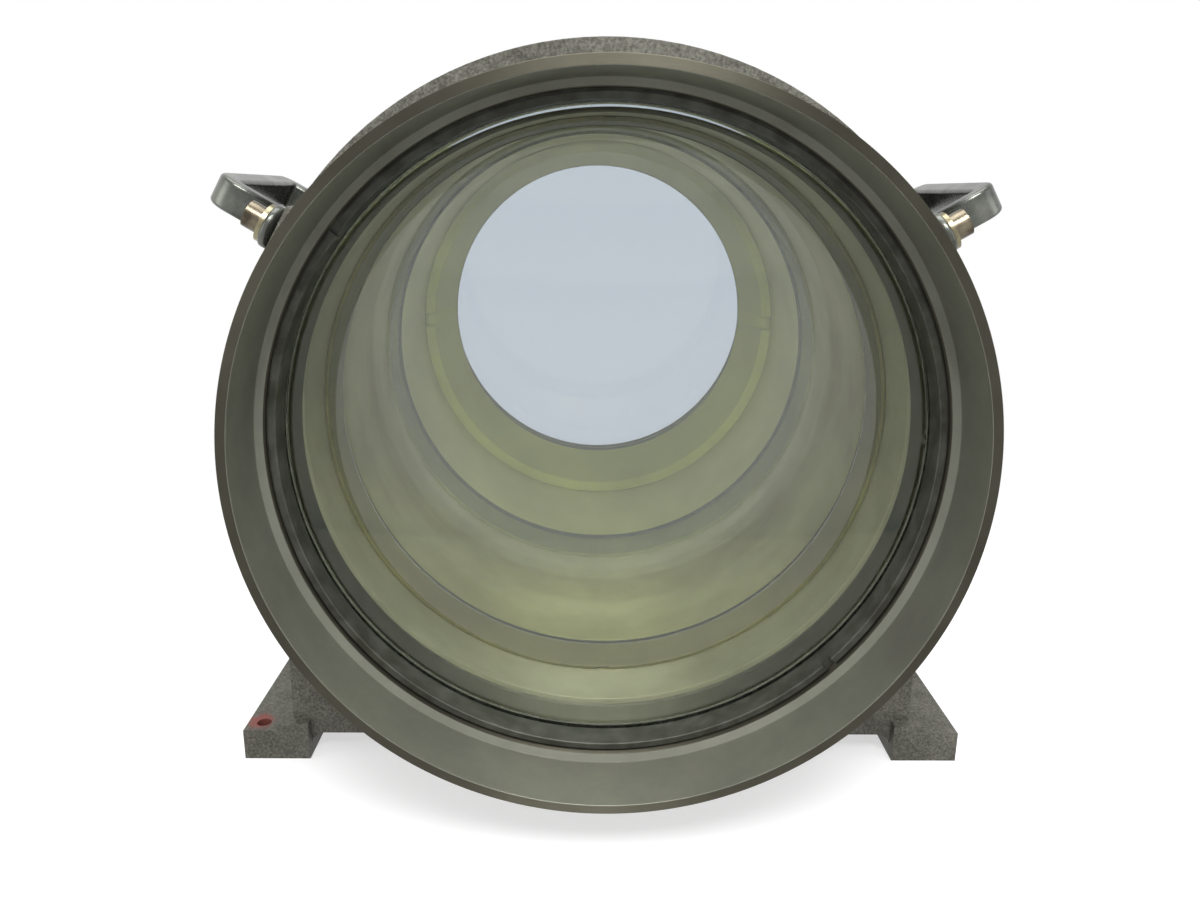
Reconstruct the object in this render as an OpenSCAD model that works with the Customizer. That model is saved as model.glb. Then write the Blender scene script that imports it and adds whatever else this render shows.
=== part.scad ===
// Large relay lens: a turned front ring and a cast housing with two feet and two lifting
// handles, holding a single front lens, a meniscus and a cemented rear pair.
// Millimetres. X is across, Y runs back along the optical axis, Z is up. The origin is on the
// feet's plane, under the middle of the lens.

/* [Front lens] */
// Clear radius of the front lens
glass1_r = 175; // [173:0.5:182]
// Width of the flat land clamped round the front lens
land1_w = 4.8; // [4:0.1:8]
// Thickness of the front lens at its edge
edge1_t = 12; // [8:0.5:16]
// Radius of the front lens's front surface
front1_curve = 780; // [650:10:1500]
// Radius of the front lens's rear surface
back1_curve = 800; // [650:10:1500]

/* [Front ring] */
// Width of the flat face round the register bore
rim_w = 5.3; // [4:0.1:12]
// Depth of the register bore
register_len = 39.7; // [30:0.1:60]
// Radial width of the bevel at the end of the register bore
bevel_w = 4.1; // [3:0.1:6]
// Length of that bevel
bevel_len = 2.6; // [1.5:0.1:5]
// Length of the throat behind the front lens
throat_len = 18; // [14:0.5:22]
// How far the throat narrows
throat_in = 9; // [7:0.5:10]
// Length of the ring behind the throat's lip
tail_len = 8.5; // [7:0.5:20]
// Thickness of the ring's rear flange
ring_foot_t = 16; // [12:0.5:20]
// Width of the ring's rear flange outside the cell
ring_foot_w = 14; // [13:0.5:16]
// Wall of the lens cell
cell_wall = 6; // [5.5:0.1:8]
// Length of the spigot that enters the housing
spigot_len = 6; // [4:0.5:10]

/* [Front retaining ring] */
// Length of the front retaining ring
retainer1_len = 16; // [10:0.5:24]
// How far the retaining ring sits behind the bevel
retainer1_set = 1.7; // [0.5:0.1:4]
// Width of the groove round the retaining ring's face
retainer_groove_w = 1.8; // [1:0.1:2.5]
// Width of a spanner slot
slot_w = 6; // [4:0.5:10]
// Depth of a spanner slot
slot_d = 4; // [2:0.5:6]

/* [Second lens] */
// How much smaller the second lens's clear radius is than the front lens's
glass2_in = 30.5; // [30:0.5:37]
// Width of the flat land round the second lens
land2_w = 9.3; // [8:0.1:9.5]
// Thickness of the second lens at its edge
edge2_t = 14; // [10:0.5:18]
// Radius of the second lens's front surface
front2_curve = 480; // [460:5:500]
// Radius of the second lens's rear surface
back2_curve = 560; // [520:5:700]
// Length of the second retaining ring
retainer2_len = 26; // [22:0.5:32]
// How far the second retaining ring's bore narrows
retainer2_in = 7; // [5:0.5:7.5]

/* [Main barrel] */
// Thickness of the barrel's flange
barrel_flange_t = 12; // [9:0.5:16]
// Length of the mouth in front of the second retaining ring
mouth_len = 35; // [30:0.5:50]
// Wall of the barrel round the second lens
barrel_wall = 9.5; // [8:0.5:10]
// Length of the cone behind the second lens
cone_len = 102; // [90:1:150]
// How far the cone narrows from the second lens's clear radius
cone_in = 26.5; // [22.5:0.5:32.5]
// Wall of the barrel round the baffle ring
rear_wall = 11; // [8:0.5:13]

/* [Baffle ring] */
// Length of the baffle ring
baffle_len = 16; // [10:0.5:24]
// How far the baffle ring's bore narrows
baffle_in = 5; // [2:0.5:8]

/* [Rear cell] */
// How much smaller the rear pair's clear radius is than the barrel cone's small end
glass3_in = 39.5; // [36:0.5:46]
// Width of the flat land round the rear pair
land3_w = 17.2; // [11.5:0.1:18.5]
// Thickness of the rear pair's crown at its edge
crown_t = 10; // [9:0.5:14]
// Thickness of the rear pair's flint at its middle
flint_mid_t = 2.5; // [2:0.1:7]
// Radius of the crown's front surface
crown_curve = 420; // [380:10:700]
// Radius of the cemented surface
cement_curve = 420; // [400:10:700]
// Radius of the flint's hollow rear surface
flint_curve = 1470; // [1000:10:3000]
// Length of the rear pair's retaining ring
retainer3_len = 23.5; // [16:0.5:30]
// Length of the rear cell's cone
cell_cone_len = 44.5; // [36:0.5:60]
// Thickness of the rear cell's flange
cell_flange_t = 14; // [8:0.5:18]
// Length of the hood behind the rear pair
hood_len = 17.5; // [14:0.5:40]
// Wall of the rear cell
rear_cell_wall = 10; // [8:0.5:14]
// How far the exit bore stands inside the rear pair's edge
exit_in = 10; // [8:0.5:10]
// Width of the rear retaining ring's flat face
retainer3_face_w = 5.3; // [3:0.1:8]
// Distance of the rear face's tapped holes from its outer edge
rear_tap_in = 13.5; // [9.5:0.5:17.5]

/* [Housing] */
// Width of the housing's front flange outside the front ring
flange_over_w = 11; // [8:0.5:16]
// Thickness of the housing's two flanges
flange_t = 26; // [22:0.5:30]
// Wall of the housing between the flanges
waist_wall = 11; // [8:0.5:13]
// Length of the boss round the barrel's rear end
boss_len = 17; // [14:0.5:26]
// Height of the flanges' circle above the feet's plane
flange_clear = 14; // [10:0.5:40]
// How far the webs' sides stand inside the flanges' circle
web_in = 11; // [5:0.5:13]
// Thickness of the webs and side plates
web_t = 15; // [10:0.5:18]
// How far the webs stand back from the flanges' faces
web_back = 11; // [5:0.5:11]

/* [Feet] */
// Height of a foot's ledge
ledge_h = 20; // [14:0.5:20]
// Height of a foot's inner step
step_h = 25; // [22:0.5:28]
// How far a foot reaches in from the webs' sides
foot_under_w = 11; // [8:0.5:14]
// Width of a foot's inner step
step_w = 20; // [18:0.5:30]
// Width of a foot's ledge
ledge_w = 22; // [20:0.5:40]
// How far the feet stand back from the flanges' faces
foot_back = 4.5; // [0:0.5:8]
// Height of the arch between the feet
arch_h = 15; // [12:0.5:18]
// Radius of a foot's fixing hole
foot_hole_r = 4.5; // [3.3:0.1:5.5]
// Distance of a fixing hole from the foot's edges
foot_hole_in = 10.5; // [9:0.5:12]

/* [Handles] */
// Angle of the handles above the horizontal
handle_angle = 30; // [20:1:40]
// Height of a handle above its seats
grip_up = 51; // [42:0.5:65]
// Width of a handle
handle_w = 18.5; // [14:0.5:24]
// Thickness of a handle
handle_t = 12; // [10:0.5:16]
// Bend radius at the middle of a handle's corners
handle_bend = 8; // [7:0.5:20]
// Radius of a handle's lug
lug_r = 13; // [12:0.1:14]
// Thickness of a handle's lug
lug_t = 8.5; // [6:0.5:12]
// How far a handle's seat stands above the flange
seat_up = 4; // [2:0.5:8]

/* [Hidden] */

// Fineness of turned surfaces, holes and the lenses' arcs
turn_fn = 180;
hole_fn = 48;
arc_fn = 1080;
// What a cut runs past the solid it cuts, and what one casting wall is let into the next
over = 1;
root = 5;

// Named clearances and small sizes shared by several pieces
lens_gap = 0.2;      // round every lens in its cell
slip_gap = 0.1;      // round every spigot, shank and locating bore
end_gap = 0.5;       // between two ends that don't touch
gasket_t = 1;        // lens gaskets
flange_gasket_t = 0.5;
mouth_chamfer = 0.6;
edge_break = 0.5;
thread_rise = 0.6;   // what a retaining ring's thread stands outside the lens's bore
thread_gap = 0.2;
groove_d = 3;
seat_lap = 0.5;      // what a lens seat reaches inside the clear radius
cement_gap = 0.05;

// Socket head cap screws: radii of the thread, of the head and of the socket's corners. The
// head is as tall as the thread is wide, and the socket is half as deep.
m5 = [2.5, 4.25, 2.3];
m6 = [3, 5, 2.9];
m10 = [5, 8, 4.6];
set_screw_r = 2.5;
set_hex_r = 1.44;
rear_tap_r = 1.65;
rear_tap_len = 10;
rear_tap_count = 6;
ring_screw_count = 12;
barrel_screw_count = 8;
cell_screw_count = 8;
ring_screw_len = 30;
barrel_screw_len = 18;
cell_screw_len = 24;
handle_screw_len = 28;
dowel_r = 3;
dowel_len = 20;
washer_t = 2.5;
washer_r = 11.5;
tap_over = 3;        // what a tapped hole runs past its screw
head_recess = 5.5;   // depth of the counterbores in the barrel's flange
slot_angles = [140.5, -44.6];  // the front retaining ring's slots, not quite opposite

// Radii of the front group, outwards from the front lens
lens1_r = glass1_r + land1_w;
cell1_r = lens1_r + lens_gap;
thread1_r = cell1_r + thread_rise;
register_r = thread1_r + bevel_w;
ring_r = register_r + rim_w;
body_r = cell1_r + cell_wall;
ring_foot_r = body_r + ring_foot_w;
ring_screw_r = (body_r + ring_foot_r) / 2;
lip_r = glass1_r - throat_in;
relief_w = 2;
relief_r = lip_r + relief_w;
spigot_wall = 16;
spigot_r = relief_r + spigot_wall;

// Depths of the front group behind the front face
retainer1_y = register_len + bevel_len + retainer1_set;
lens1_y = retainer1_y + retainer1_len;
lens1_back = lens1_y + edge1_t;
seat1_y = lens1_back + gasket_t;
lip_y = seat1_y + throat_len;
ring_len = lip_y + tail_len;
housing_y = ring_len + flange_gasket_t;
spigot_end = housing_y + spigot_len;

// Radii of the main barrel and what it holds
glass2_r = glass1_r - glass2_in;
cone_end_r = glass2_r - cone_in;
lens2_r = glass2_r + land2_w;
cell2_r = lens2_r + lens_gap;
thread2_r = cell2_r + end_gap;
retainer2_out = thread2_r - thread_gap;
retainer2_lip = glass2_r + seat_lap;
retainer2_mouth = retainer2_lip + retainer2_in;
mouth_set = 1;
barrel_mouth_r = lip_r - mouth_set;
barrel_r = thread2_r + barrel_wall;
shoulder_w = 6;
barrel_flange_w = 12;
barrel_spigot_r = barrel_r + shoulder_w;
barrel_flange_r = barrel_spigot_r + barrel_flange_w;
barrel_screw_r = (barrel_spigot_r + barrel_flange_r) / 2;
baffle_step = 2.6;
baffle_lap = 1.5;
baffle_bore_r = cone_end_r + baffle_step;
baffle_mouth_r = cone_end_r - baffle_lap;
baffle_end_r = baffle_mouth_r - baffle_in;
barrel_end_r = baffle_bore_r + rear_wall;
taper_share = 0.75;

// Depths of the main barrel
barrel_y = spigot_end + 2 * end_gap;
shoulder_y = barrel_y + barrel_flange_t;
barrel_spigot_len = 12;
shoulder_end = shoulder_y + barrel_spigot_len;
retainer2_y = barrel_y + mouth_len;
lens2_y = retainer2_y + retainer2_len;
lens2_back = lens2_y + edge2_t;
seat2_y = lens2_back + gasket_t;
baffle_y = seat2_y + cone_len;
baffle_end = baffle_y + baffle_len;

// Rear cell and what it holds
glass3_r = cone_end_r - glass3_in;
pair_r = glass3_r + land3_w;
cell_spigot_len = 4;
cell_y = baffle_end + end_gap + cell_spigot_len;
boss_y = cell_y - flange_gasket_t;
barrel_end = boss_y - end_gap;
cell3_r = pair_r + lens_gap;
thread3_r = cell3_r + thread_rise;
retainer3_out = thread3_r - thread_gap;
retainer3_mouth = retainer3_out - retainer3_face_w;
cell_mouth_r = baffle_end_r - baffle_lap;
cell_spigot_r = baffle_bore_r - slip_gap;
cell_body_r = thread3_r + rear_cell_wall;
cell_neck_r = cell_body_r + rear_cell_wall;
retainer3_y = baffle_end + end_gap + cell_cone_len;
pair_y = retainer3_y + retainer3_len;
crown_back = pair_y + crown_t;
flint_t = flint_mid_t + sag(cement_curve, glass3_r) + sag(flint_curve, glass3_r);
flint_back = crown_back + flint_t;
seat3_y = flint_back + gasket_t;
seat3_len = 3;
total_len = seat3_y + hood_len;
rim_up = 6;
rim_r = cell_body_r + rim_up;
rim_len = 14;
exit_r = cell3_r - exit_in;
rear_tap_circle_r = rim_r - rear_tap_in;

// Housing
flange_r = ring_foot_r + flange_over_w;
axis_h = flange_r + flange_clear;
rear_flange_y = boss_y - boss_len - flange_t;
rear_flange_end = boss_y - boss_len;
cell_flange_w = 20;
boss_over_w = 8;
cell_flange_r = barrel_end_r + cell_flange_w;
cell_screw_r = barrel_end_r + cell_flange_w / 2;
cell_hole_len = cell_screw_len - cell_flange_t - flange_gasket_t + tap_over;
boss_r = cell_flange_r + boss_over_w;
cavity_gap = 1;
cavity_r = barrel_flange_r + cavity_gap;
waist_r = cavity_r + waist_wall;
rear_plate_t = 16;
web_y = housing_y + web_back;
web_len = rear_flange_end - housing_y - 2 * web_back;
web_bottom = arch_h - axis_h;
web_half_w = flange_r - web_in;
side_thinner = 3;
side_t = web_t - side_thinner;
foot_y = housing_y + foot_back;
foot_len = rear_flange_end - housing_y - 2 * foot_back;
foot_in = web_half_w - foot_under_w;
foot_out = foot_in + step_w + ledge_w;
arch_fillet = 8;
rib_w = 10;
rib_up = 11;
rib_angles = [60, 90, 120];

// Handles
seat_dist = flange_r + seat_up;
grip_out = seat_dist + grip_up;
lug_edge = 3;
seat_side = 4;
lug1_y = housing_y + lug_edge + lug_r;
lug2_y = rear_flange_end - lug_edge - lug_r;
seat_w = 2 * (lug_r + seat_side);
seat_reach = lug_edge + 2 * lug_r + handle_t;
tap_len = handle_screw_len - washer_t - lug_t + tap_over;
handle_sides = 20;
bend_steps = 8;
corner_power = 0.3;

// The front face lies half the lens's length in front of the origin
front_y = -total_len / 2;

// Sag of a spherical surface of radius curve at radius r
function sag(curve, r) = curve - sqrt(curve * curve - r * r);

// Start angle that sets a circle of screws astride the horizontal
function screw_start(count) = 180 / count;

// Places what is drawn round the optical axis, with Y as depth behind the front face
module on_axis() {
    translate([0, front_y, axis_h]) children();
}

// A piece turned about the optical axis from an outline of [radius, depth] points
module turned(outline) {
    on_axis() rotate([-90, 0, 0]) rotate_extrude($fn = turn_fn) polygon(outline);
}

// Turns its children's X axis up to an angle above the horizontal
module at_angle(angle) {
    rotate([0, -angle, 0]) children();
}

// A cylinder along the optical axis, from depth y back over length len
module rod(r, y, len, fn = turn_fn) {
    translate([0, y, 0]) rotate([-90, 0, 0]) cylinder(r = r, h = len, $fn = fn);
}

// The same at count places on a circle
module rods(circle_r, count, start, r, y, len) {
    for (i = [0 : count - 1])
        at_angle(start + i * 360 / count) translate([circle_r, 0, 0]) rod(r, y, len, hole_fn);
}

// A socket head cap screw pointing along Y, its head's seat at the origin
module cap_screw(size, len) {
    head_h = 2 * size[0];
    difference() {
        union() {
            rod(size[0], 0, len, hole_fn);
            rod(size[1], -head_h, head_h, hole_fn);
        }
        rod(size[2], -head_h - over, head_h / 2 + over, 6);
    }
}

// Cap screws on a circle, their heads' seats at depth y
module screw_circle(circle_r, count, start, size, y, len) {
    on_axis() for (i = [0 : count - 1])
        at_angle(start + i * 360 / count) translate([circle_r, y, 0]) cap_screw(size, len);
}

// A lens turned about the optical axis. The flat lands lie at depths y and y + edge. A front
// curve above zero bulges forwards and a back curve above zero bulges backwards.
module lens(clear_r, edge_r, y, edge, front_curve, back_curve) {
    on_axis() rotate([-90, 0, 0]) rotate_extrude($fn = turn_fn) difference() {
        union() {
            translate([0, y]) square([edge_r, edge]);
            if (front_curve > 0) dome(clear_r, y, edge / 2, front_curve, -1);
            if (back_curve > 0) dome(clear_r, y + edge, edge / 2, back_curve, 1);
        }
        if (front_curve < 0) sphere_section(clear_r, y, -front_curve, 1);
        if (back_curve < 0) sphere_section(clear_r, y + edge, -back_curve, -1);
    }
}

// Section of the sphere that passes the clear edge at depth y and bulges towards side
module sphere_section(clear_r, y, curve, side) {
    translate([0, y + side * (sag(curve, clear_r) - curve)]) circle(r = curve, $fn = arc_fn);
}

// Half the section of the part of such a sphere that stands on depth y, let into the lens
module dome(clear_r, y, into, curve, side) {
    height = sag(curve, clear_r);
    intersection() {
        sphere_section(clear_r, y, curve, side);
        translate([0, side > 0 ? y - into : y - height]) square([clear_r, height + into]);
    }
}

// A flat ring between depths y and y + t
module flat_ring(in_r, out_r, y, t) {
    turned([[in_r, y], [out_r, y], [out_r, y + t], [in_r, y + t]]);
}

// Front view of the housing's webs: a straight-sided plate with the arch's two fillets
module web_outline() {
    difference() {
        union() {
            translate([-web_half_w, web_bottom]) square([2 * web_half_w, -web_bottom]);
            for (side = [-1, 1]) translate([side * (foot_in - arch_fillet / 2), web_bottom])
                square([arch_fillet, 2 * arch_fillet], center = true);
        }
        for (side = [-1, 1])
            translate([side * (foot_in - arch_fillet), web_bottom - arch_fillet])
                circle(r = arch_fillet, $fn = hole_fn);
    }
}

// One foot's section in X and Z, on the side given by side
module foot_outline(side) {
    middle = side * (foot_in + foot_out) / 2;
    step_middle = side * (foot_in + step_w / 2);
    translate([middle, ledge_h / 2 - axis_h]) square([foot_out - foot_in, ledge_h], center = true);
    translate([step_middle, step_h / 2 - axis_h]) square([step_w, step_h], center = true);
}

// Extrudes a section in X and Z back along the axis
module along(y, len) {
    translate([0, y + len, 0]) rotate([90, 0, 0]) linear_extrude(len) children();
}

// The raised seats under one handle's two lugs
module handle_seats() {
    depth = seat_dist - waist_r + root;
    for (y = [housing_y, rear_flange_end - seat_reach])
        translate([waist_r - root, y, -seat_w / 2]) cube([depth, seat_reach, seat_w]);
}

module housing_body() {
    rod(flange_r, housing_y, flange_t);
    rod(flange_r, rear_flange_y, flange_t);
    rod(waist_r, housing_y, boss_y - boss_len - housing_y);
    rod(boss_r, rear_flange_end - root, boss_len + root);
    along(web_y, web_t) web_outline();
    along(web_y + web_len - web_t, web_t) web_outline();
    along(web_y, web_len) for (side = [-1, 1])
        translate([side * (web_half_w - side_t / 2), web_bottom / 2])
            square([side_t, -web_bottom], center = true);
    along(foot_y, foot_len) for (side = [-1, 1]) foot_outline(side);
    for (angle = [handle_angle, 180 - handle_angle]) at_angle(angle) handle_seats();
    for (angle = rib_angles) at_angle(angle)
        translate([waist_r - root, housing_y + root, -rib_w / 2])
            cube([root + rib_up, rear_flange_end - housing_y - 2 * root, rib_w]);
}

module housing_bores() {
    rod(spigot_r + slip_gap, housing_y - over, spigot_len + end_gap + over);
    rod(barrel_flange_r + slip_gap, housing_y, shoulder_y - housing_y);
    rod(barrel_spigot_r + slip_gap, housing_y, shoulder_end + over - housing_y);
    rod(cavity_r, shoulder_end, rear_flange_end - rear_plate_t - shoulder_end);
    rod(barrel_end_r + slip_gap, shoulder_end, boss_y + over - shoulder_end);
    rods(ring_screw_r, ring_screw_count, screw_start(ring_screw_count), m6[0] + slip_gap,
        housing_y - over, ring_screw_len - ring_foot_t + tap_over + over);
    rods(barrel_screw_r, barrel_screw_count, 0, m5[0] + slip_gap,
        shoulder_y - over, shoulder_end - shoulder_y + 2 * over);
    rods(cell_screw_r, cell_screw_count, 0, m6[0] + slip_gap,
        boss_y - cell_hole_len, cell_hole_len + over);
    rods(ring_screw_r, 2, 0, dowel_r, housing_y - over, dowel_len / 2 + over);
    for (angle = [handle_angle, 180 - handle_angle], y = [lug1_y, lug2_y]) at_angle(angle)
        translate([seat_dist - tap_len, y, 0]) rotate([0, 90, 0])
            cylinder(r = m10[0] + slip_gap, h = tap_len + over, $fn = hole_fn);
    for (place = [[-1, foot_y + foot_hole_in], [-1, foot_y + foot_len - foot_hole_in],
            [1, foot_y + foot_len / 2]])
        translate([place[0] * (foot_out - foot_hole_in), place[1], -axis_h - over])
            cylinder(r = foot_hole_r, h = ledge_h + 2 * over, $fn = hole_fn);
}

module housing() {
    color("#6f7067") on_axis() difference() {
        housing_body();
        housing_bores();
        // The arch is cut level across the flanges too
        along(housing_y - over, rear_flange_end - housing_y + 2 * over)
            translate([arch_fillet - foot_in, web_bottom - axis_h])
                square([2 * (foot_in - arch_fillet), axis_h]);
    }
}

module front_ring() {
    color("#8b8c82") difference() {
        turned([
            [register_r + mouth_chamfer, 0], [ring_r - edge_break, 0], [ring_r, edge_break],
            [ring_r, retainer1_y], [body_r, retainer1_y + cell_wall],
            [body_r, ring_len - ring_foot_t],
            [ring_foot_r, ring_len - ring_foot_t], [ring_foot_r, ring_len],
            [spigot_r, ring_len], [spigot_r, spigot_end], [relief_r, spigot_end],
            [relief_r, lip_y], [lip_r, lip_y], [glass1_r - seat_lap, seat1_y],
            [cell1_r, seat1_y], [cell1_r, lens1_y], [thread1_r, lens1_y],
            [thread1_r, register_len + bevel_len], [register_r, register_len],
            [register_r, mouth_chamfer],
        ]);
        on_axis() {
            rods(ring_screw_r, ring_screw_count, screw_start(ring_screw_count),
                m6[0] + slip_gap, ring_len - ring_foot_t - over, ring_foot_t + 2 * over);
            rods(ring_screw_r, 2, 0, dowel_r, ring_len - ring_foot_t / 2,
                ring_foot_t / 2 + over);
            for (i = [0 : 2]) at_angle(90 + i * 120)
                translate([thread1_r - over, retainer1_y + retainer1_len / 2, 0])
                    rotate([0, 90, 0])
                        cylinder(r = set_screw_r + slip_gap, h = 4 * cell_wall, $fn = hole_fn);
        }
    }
}

module front_retaining_ring() {
    out_r = thread1_r - thread_gap;
    color("#33342f") difference() {
        turned([
            [glass1_r + edge_break, retainer1_y], [out_r - retainer_groove_w, retainer1_y],
            [out_r - retainer_groove_w, retainer1_y + groove_d],
            [out_r, retainer1_y + groove_d], [out_r, lens1_y], [glass1_r, lens1_y],
            [glass1_r, retainer1_y + edge_break],
        ]);
        on_axis() for (angle = slot_angles) at_angle(angle)
            translate([glass1_r - over, retainer1_y - over, -slot_w / 2])
                cube([out_r - glass1_r + 2 * over, slot_d + over, slot_w]);
    }
}

module front_lens() {
    color("#cfd6c4", 0.35)
        lens(glass1_r, lens1_r, lens1_y, edge1_t, front1_curve, back1_curve);
}

module front_lens_gasket() {
    color("#26271f") flat_ring(glass1_r + seat_lap, lens1_r, lens1_back, gasket_t);
}

module front_ring_gasket() {
    color("#26271f") difference() {
        flat_ring(spigot_r + slip_gap, ring_foot_r, ring_len, flange_gasket_t);
        on_axis() {
            rods(ring_screw_r, ring_screw_count, screw_start(ring_screw_count),
                m6[0] + slip_gap, ring_len - over, flange_gasket_t + 2 * over);
            rods(ring_screw_r, 2, 0, dowel_r, ring_len - over, flange_gasket_t + 2 * over);
        }
    }
}

module front_ring_screws() {
    color("#4c4d4a") screw_circle(ring_screw_r, ring_screw_count,
        screw_start(ring_screw_count), m6, ring_len - ring_foot_t, ring_screw_len);
}

module front_ring_dowels() {
    color("#b9b9b4") on_axis() rods(ring_screw_r, 2, 0, dowel_r,
        ring_len - ring_foot_t / 2, ring_foot_t / 2 + flange_gasket_t + dowel_len / 2);
}

module retainer_set_screws() {
    color("#4c4d4a") on_axis() for (i = [0 : 2]) at_angle(90 + i * 120)
        translate([thread1_r - thread_gap, retainer1_y + retainer1_len / 2, 0])
            rotate([0, 90, 0]) difference() {
                cylinder(r = set_screw_r, h = body_r - thread1_r + thread_gap, $fn = hole_fn);
                translate([0, 0, cell_wall / 2]) cylinder(r = set_hex_r, h = cell_wall, $fn = 6);
            }
}

module main_barrel() {
    color("#8d8c77") difference() {
        turned([
            [barrel_mouth_r, barrel_y], [barrel_flange_r, barrel_y],
            [barrel_flange_r, shoulder_y], [barrel_spigot_r, shoulder_y],
            [barrel_spigot_r, shoulder_end], [barrel_r, shoulder_end], [barrel_r, seat2_y],
            [barrel_end_r, seat2_y + taper_share * cone_len], [barrel_end_r, barrel_end],
            [baffle_bore_r, barrel_end], [baffle_bore_r, baffle_y], [cone_end_r, baffle_y],
            [glass2_r - 2 * seat_lap, seat2_y], [cell2_r, seat2_y], [cell2_r, lens2_y],
            [thread2_r, lens2_y], [thread2_r, retainer2_y],
        ]);
        on_axis() {
            rods(barrel_screw_r, barrel_screw_count, 0, m5[0] + slip_gap,
                barrel_y - over, barrel_flange_t + 2 * over);
            rods(barrel_screw_r, barrel_screw_count, 0, m5[1] + slip_gap,
                barrel_y - over, head_recess + over);
        }
    }
}

module main_barrel_screws() {
    color("#4c4d4a") screw_circle(barrel_screw_r, barrel_screw_count, 0, m5,
        barrel_y + head_recess, barrel_screw_len);
}

module second_retaining_ring() {
    color("#5c5a3a") difference() {
        turned([
            [retainer2_mouth, retainer2_y], [retainer2_out, retainer2_y],
            [retainer2_out, lens2_y], [retainer2_lip, lens2_y],
            [retainer2_lip, lens2_y - edge_break],
        ]);
        on_axis() for (angle = [90, 270]) at_angle(angle)
            translate([retainer2_mouth - over, retainer2_y - over, -slot_w / 2])
                cube([retainer2_out - retainer2_mouth + 2 * over, slot_d / 2 + over, slot_w]);
    }
}

module second_lens() {
    color("#cfd6c4", 0.35)
        lens(glass2_r, lens2_r, lens2_y, edge2_t, front2_curve, -back2_curve);
}

module second_lens_gasket() {
    color("#26271f") flat_ring(glass2_r, lens2_r, lens2_back, gasket_t);
}

module baffle_ring() {
    color("#5c5a3a") turned([
        [baffle_mouth_r, baffle_y], [baffle_bore_r - slip_gap, baffle_y],
        [baffle_bore_r - slip_gap, baffle_end], [baffle_end_r, baffle_end],
    ]);
}

module rear_cell() {
    color("#77766a") difference() {
        turned([
            [cell_mouth_r, baffle_end + end_gap], [cell_spigot_r, baffle_end + end_gap],
            [cell_spigot_r, cell_y], [cell_flange_r, cell_y],
            [cell_flange_r, cell_y + cell_flange_t - edge_break],
            [cell_flange_r - edge_break, cell_y + cell_flange_t],
            [cell_neck_r, cell_y + cell_flange_t], [cell_neck_r, retainer3_y],
            [cell_body_r, retainer3_y + rear_cell_wall], [cell_body_r, total_len - rim_len],
            [rim_r, total_len - rim_len], [rim_r, total_len - edge_break],
            [rim_r - edge_break, total_len], [exit_r, total_len],
            [exit_r, seat3_y + seat3_len], [glass3_r + 2 * seat_lap, seat3_y],
            [cell3_r, seat3_y], [cell3_r, pair_y], [thread3_r, pair_y],
            [thread3_r, retainer3_y],
        ]);
        on_axis() {
            rods(cell_screw_r, cell_screw_count, 0, m6[0] + slip_gap,
                cell_y - over, cell_flange_t + 2 * over);
            rods(rear_tap_circle_r, rear_tap_count, 0, rear_tap_r,
                total_len - rear_tap_len, rear_tap_len + over);
        }
    }
}

module rear_cell_gasket() {
    color("#26271f") difference() {
        flat_ring(barrel_end_r + slip_gap, cell_flange_r, boss_y, flange_gasket_t);
        on_axis() rods(cell_screw_r, cell_screw_count, 0, m6[0] + slip_gap,
            boss_y - over, flange_gasket_t + 2 * over);
    }
}

module rear_cell_screws() {
    color("#4c4d4a") on_axis() for (i = [0 : cell_screw_count - 1])
        at_angle(i * 360 / cell_screw_count)
            translate([cell_screw_r, cell_y + cell_flange_t, 0]) rotate([180, 0, 0])
                cap_screw(m6, cell_screw_len);
}

module rear_retaining_ring() {
    color("#7b7c52") difference() {
        turned([
            [retainer3_mouth, retainer3_y], [retainer3_out, retainer3_y],
            [retainer3_out, pair_y], [glass3_r + lens_gap, pair_y],
        ]);
        on_axis() for (angle = [0, 180]) at_angle(angle)
            translate([retainer3_mouth - over, retainer3_y - over, -slot_w / 2])
                cube([retainer3_face_w + 2 * over, slot_d / 2 + over, slot_w]);
    }
}

module rear_crown_lens() {
    color("#c9d2e6", 0.35)
        lens(glass3_r, pair_r, pair_y, crown_t, crown_curve, cement_curve);
}

module rear_flint_lens() {
    color("#c9d2e6", 0.35) lens(glass3_r + cement_gap, pair_r, crown_back, flint_t,
        -cement_curve - cement_gap, -flint_curve);
}

module rear_lens_gasket() {
    color("#26271f") flat_ring(glass3_r + 2 * seat_lap, pair_r, flint_back, gasket_t);
}

// Outline of a handle's section: a rounded oblong of the given width and thickness
function section(width, thick) = [
    for (i = [0 : handle_sides - 1])
        let (a = i * 360 / handle_sides)
        [sign(cos(a)) * pow(abs(cos(a)), corner_power) * thick / 2,
         sign(sin(a)) * pow(abs(sin(a)), corner_power) * width / 2],
];

// The grip's centre line, as [distance from the axis, depth, turn of the section] rows
function bow_path(foot_x, out_x, y0, y1, bend) = concat(
    [[foot_x, y0, 0]],
    [for (i = [0 : bend_steps]) let (a = i * 90 / bend_steps)
        [out_x - bend + bend * sin(a), y0 + bend - bend * cos(a), a]],
    [for (i = [0 : bend_steps]) let (a = i * 90 / bend_steps)
        [out_x - bend + bend * cos(a), y1 - bend + bend * sin(a), 90 + a]],
    [[foot_x, y1, 180]]
);

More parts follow.
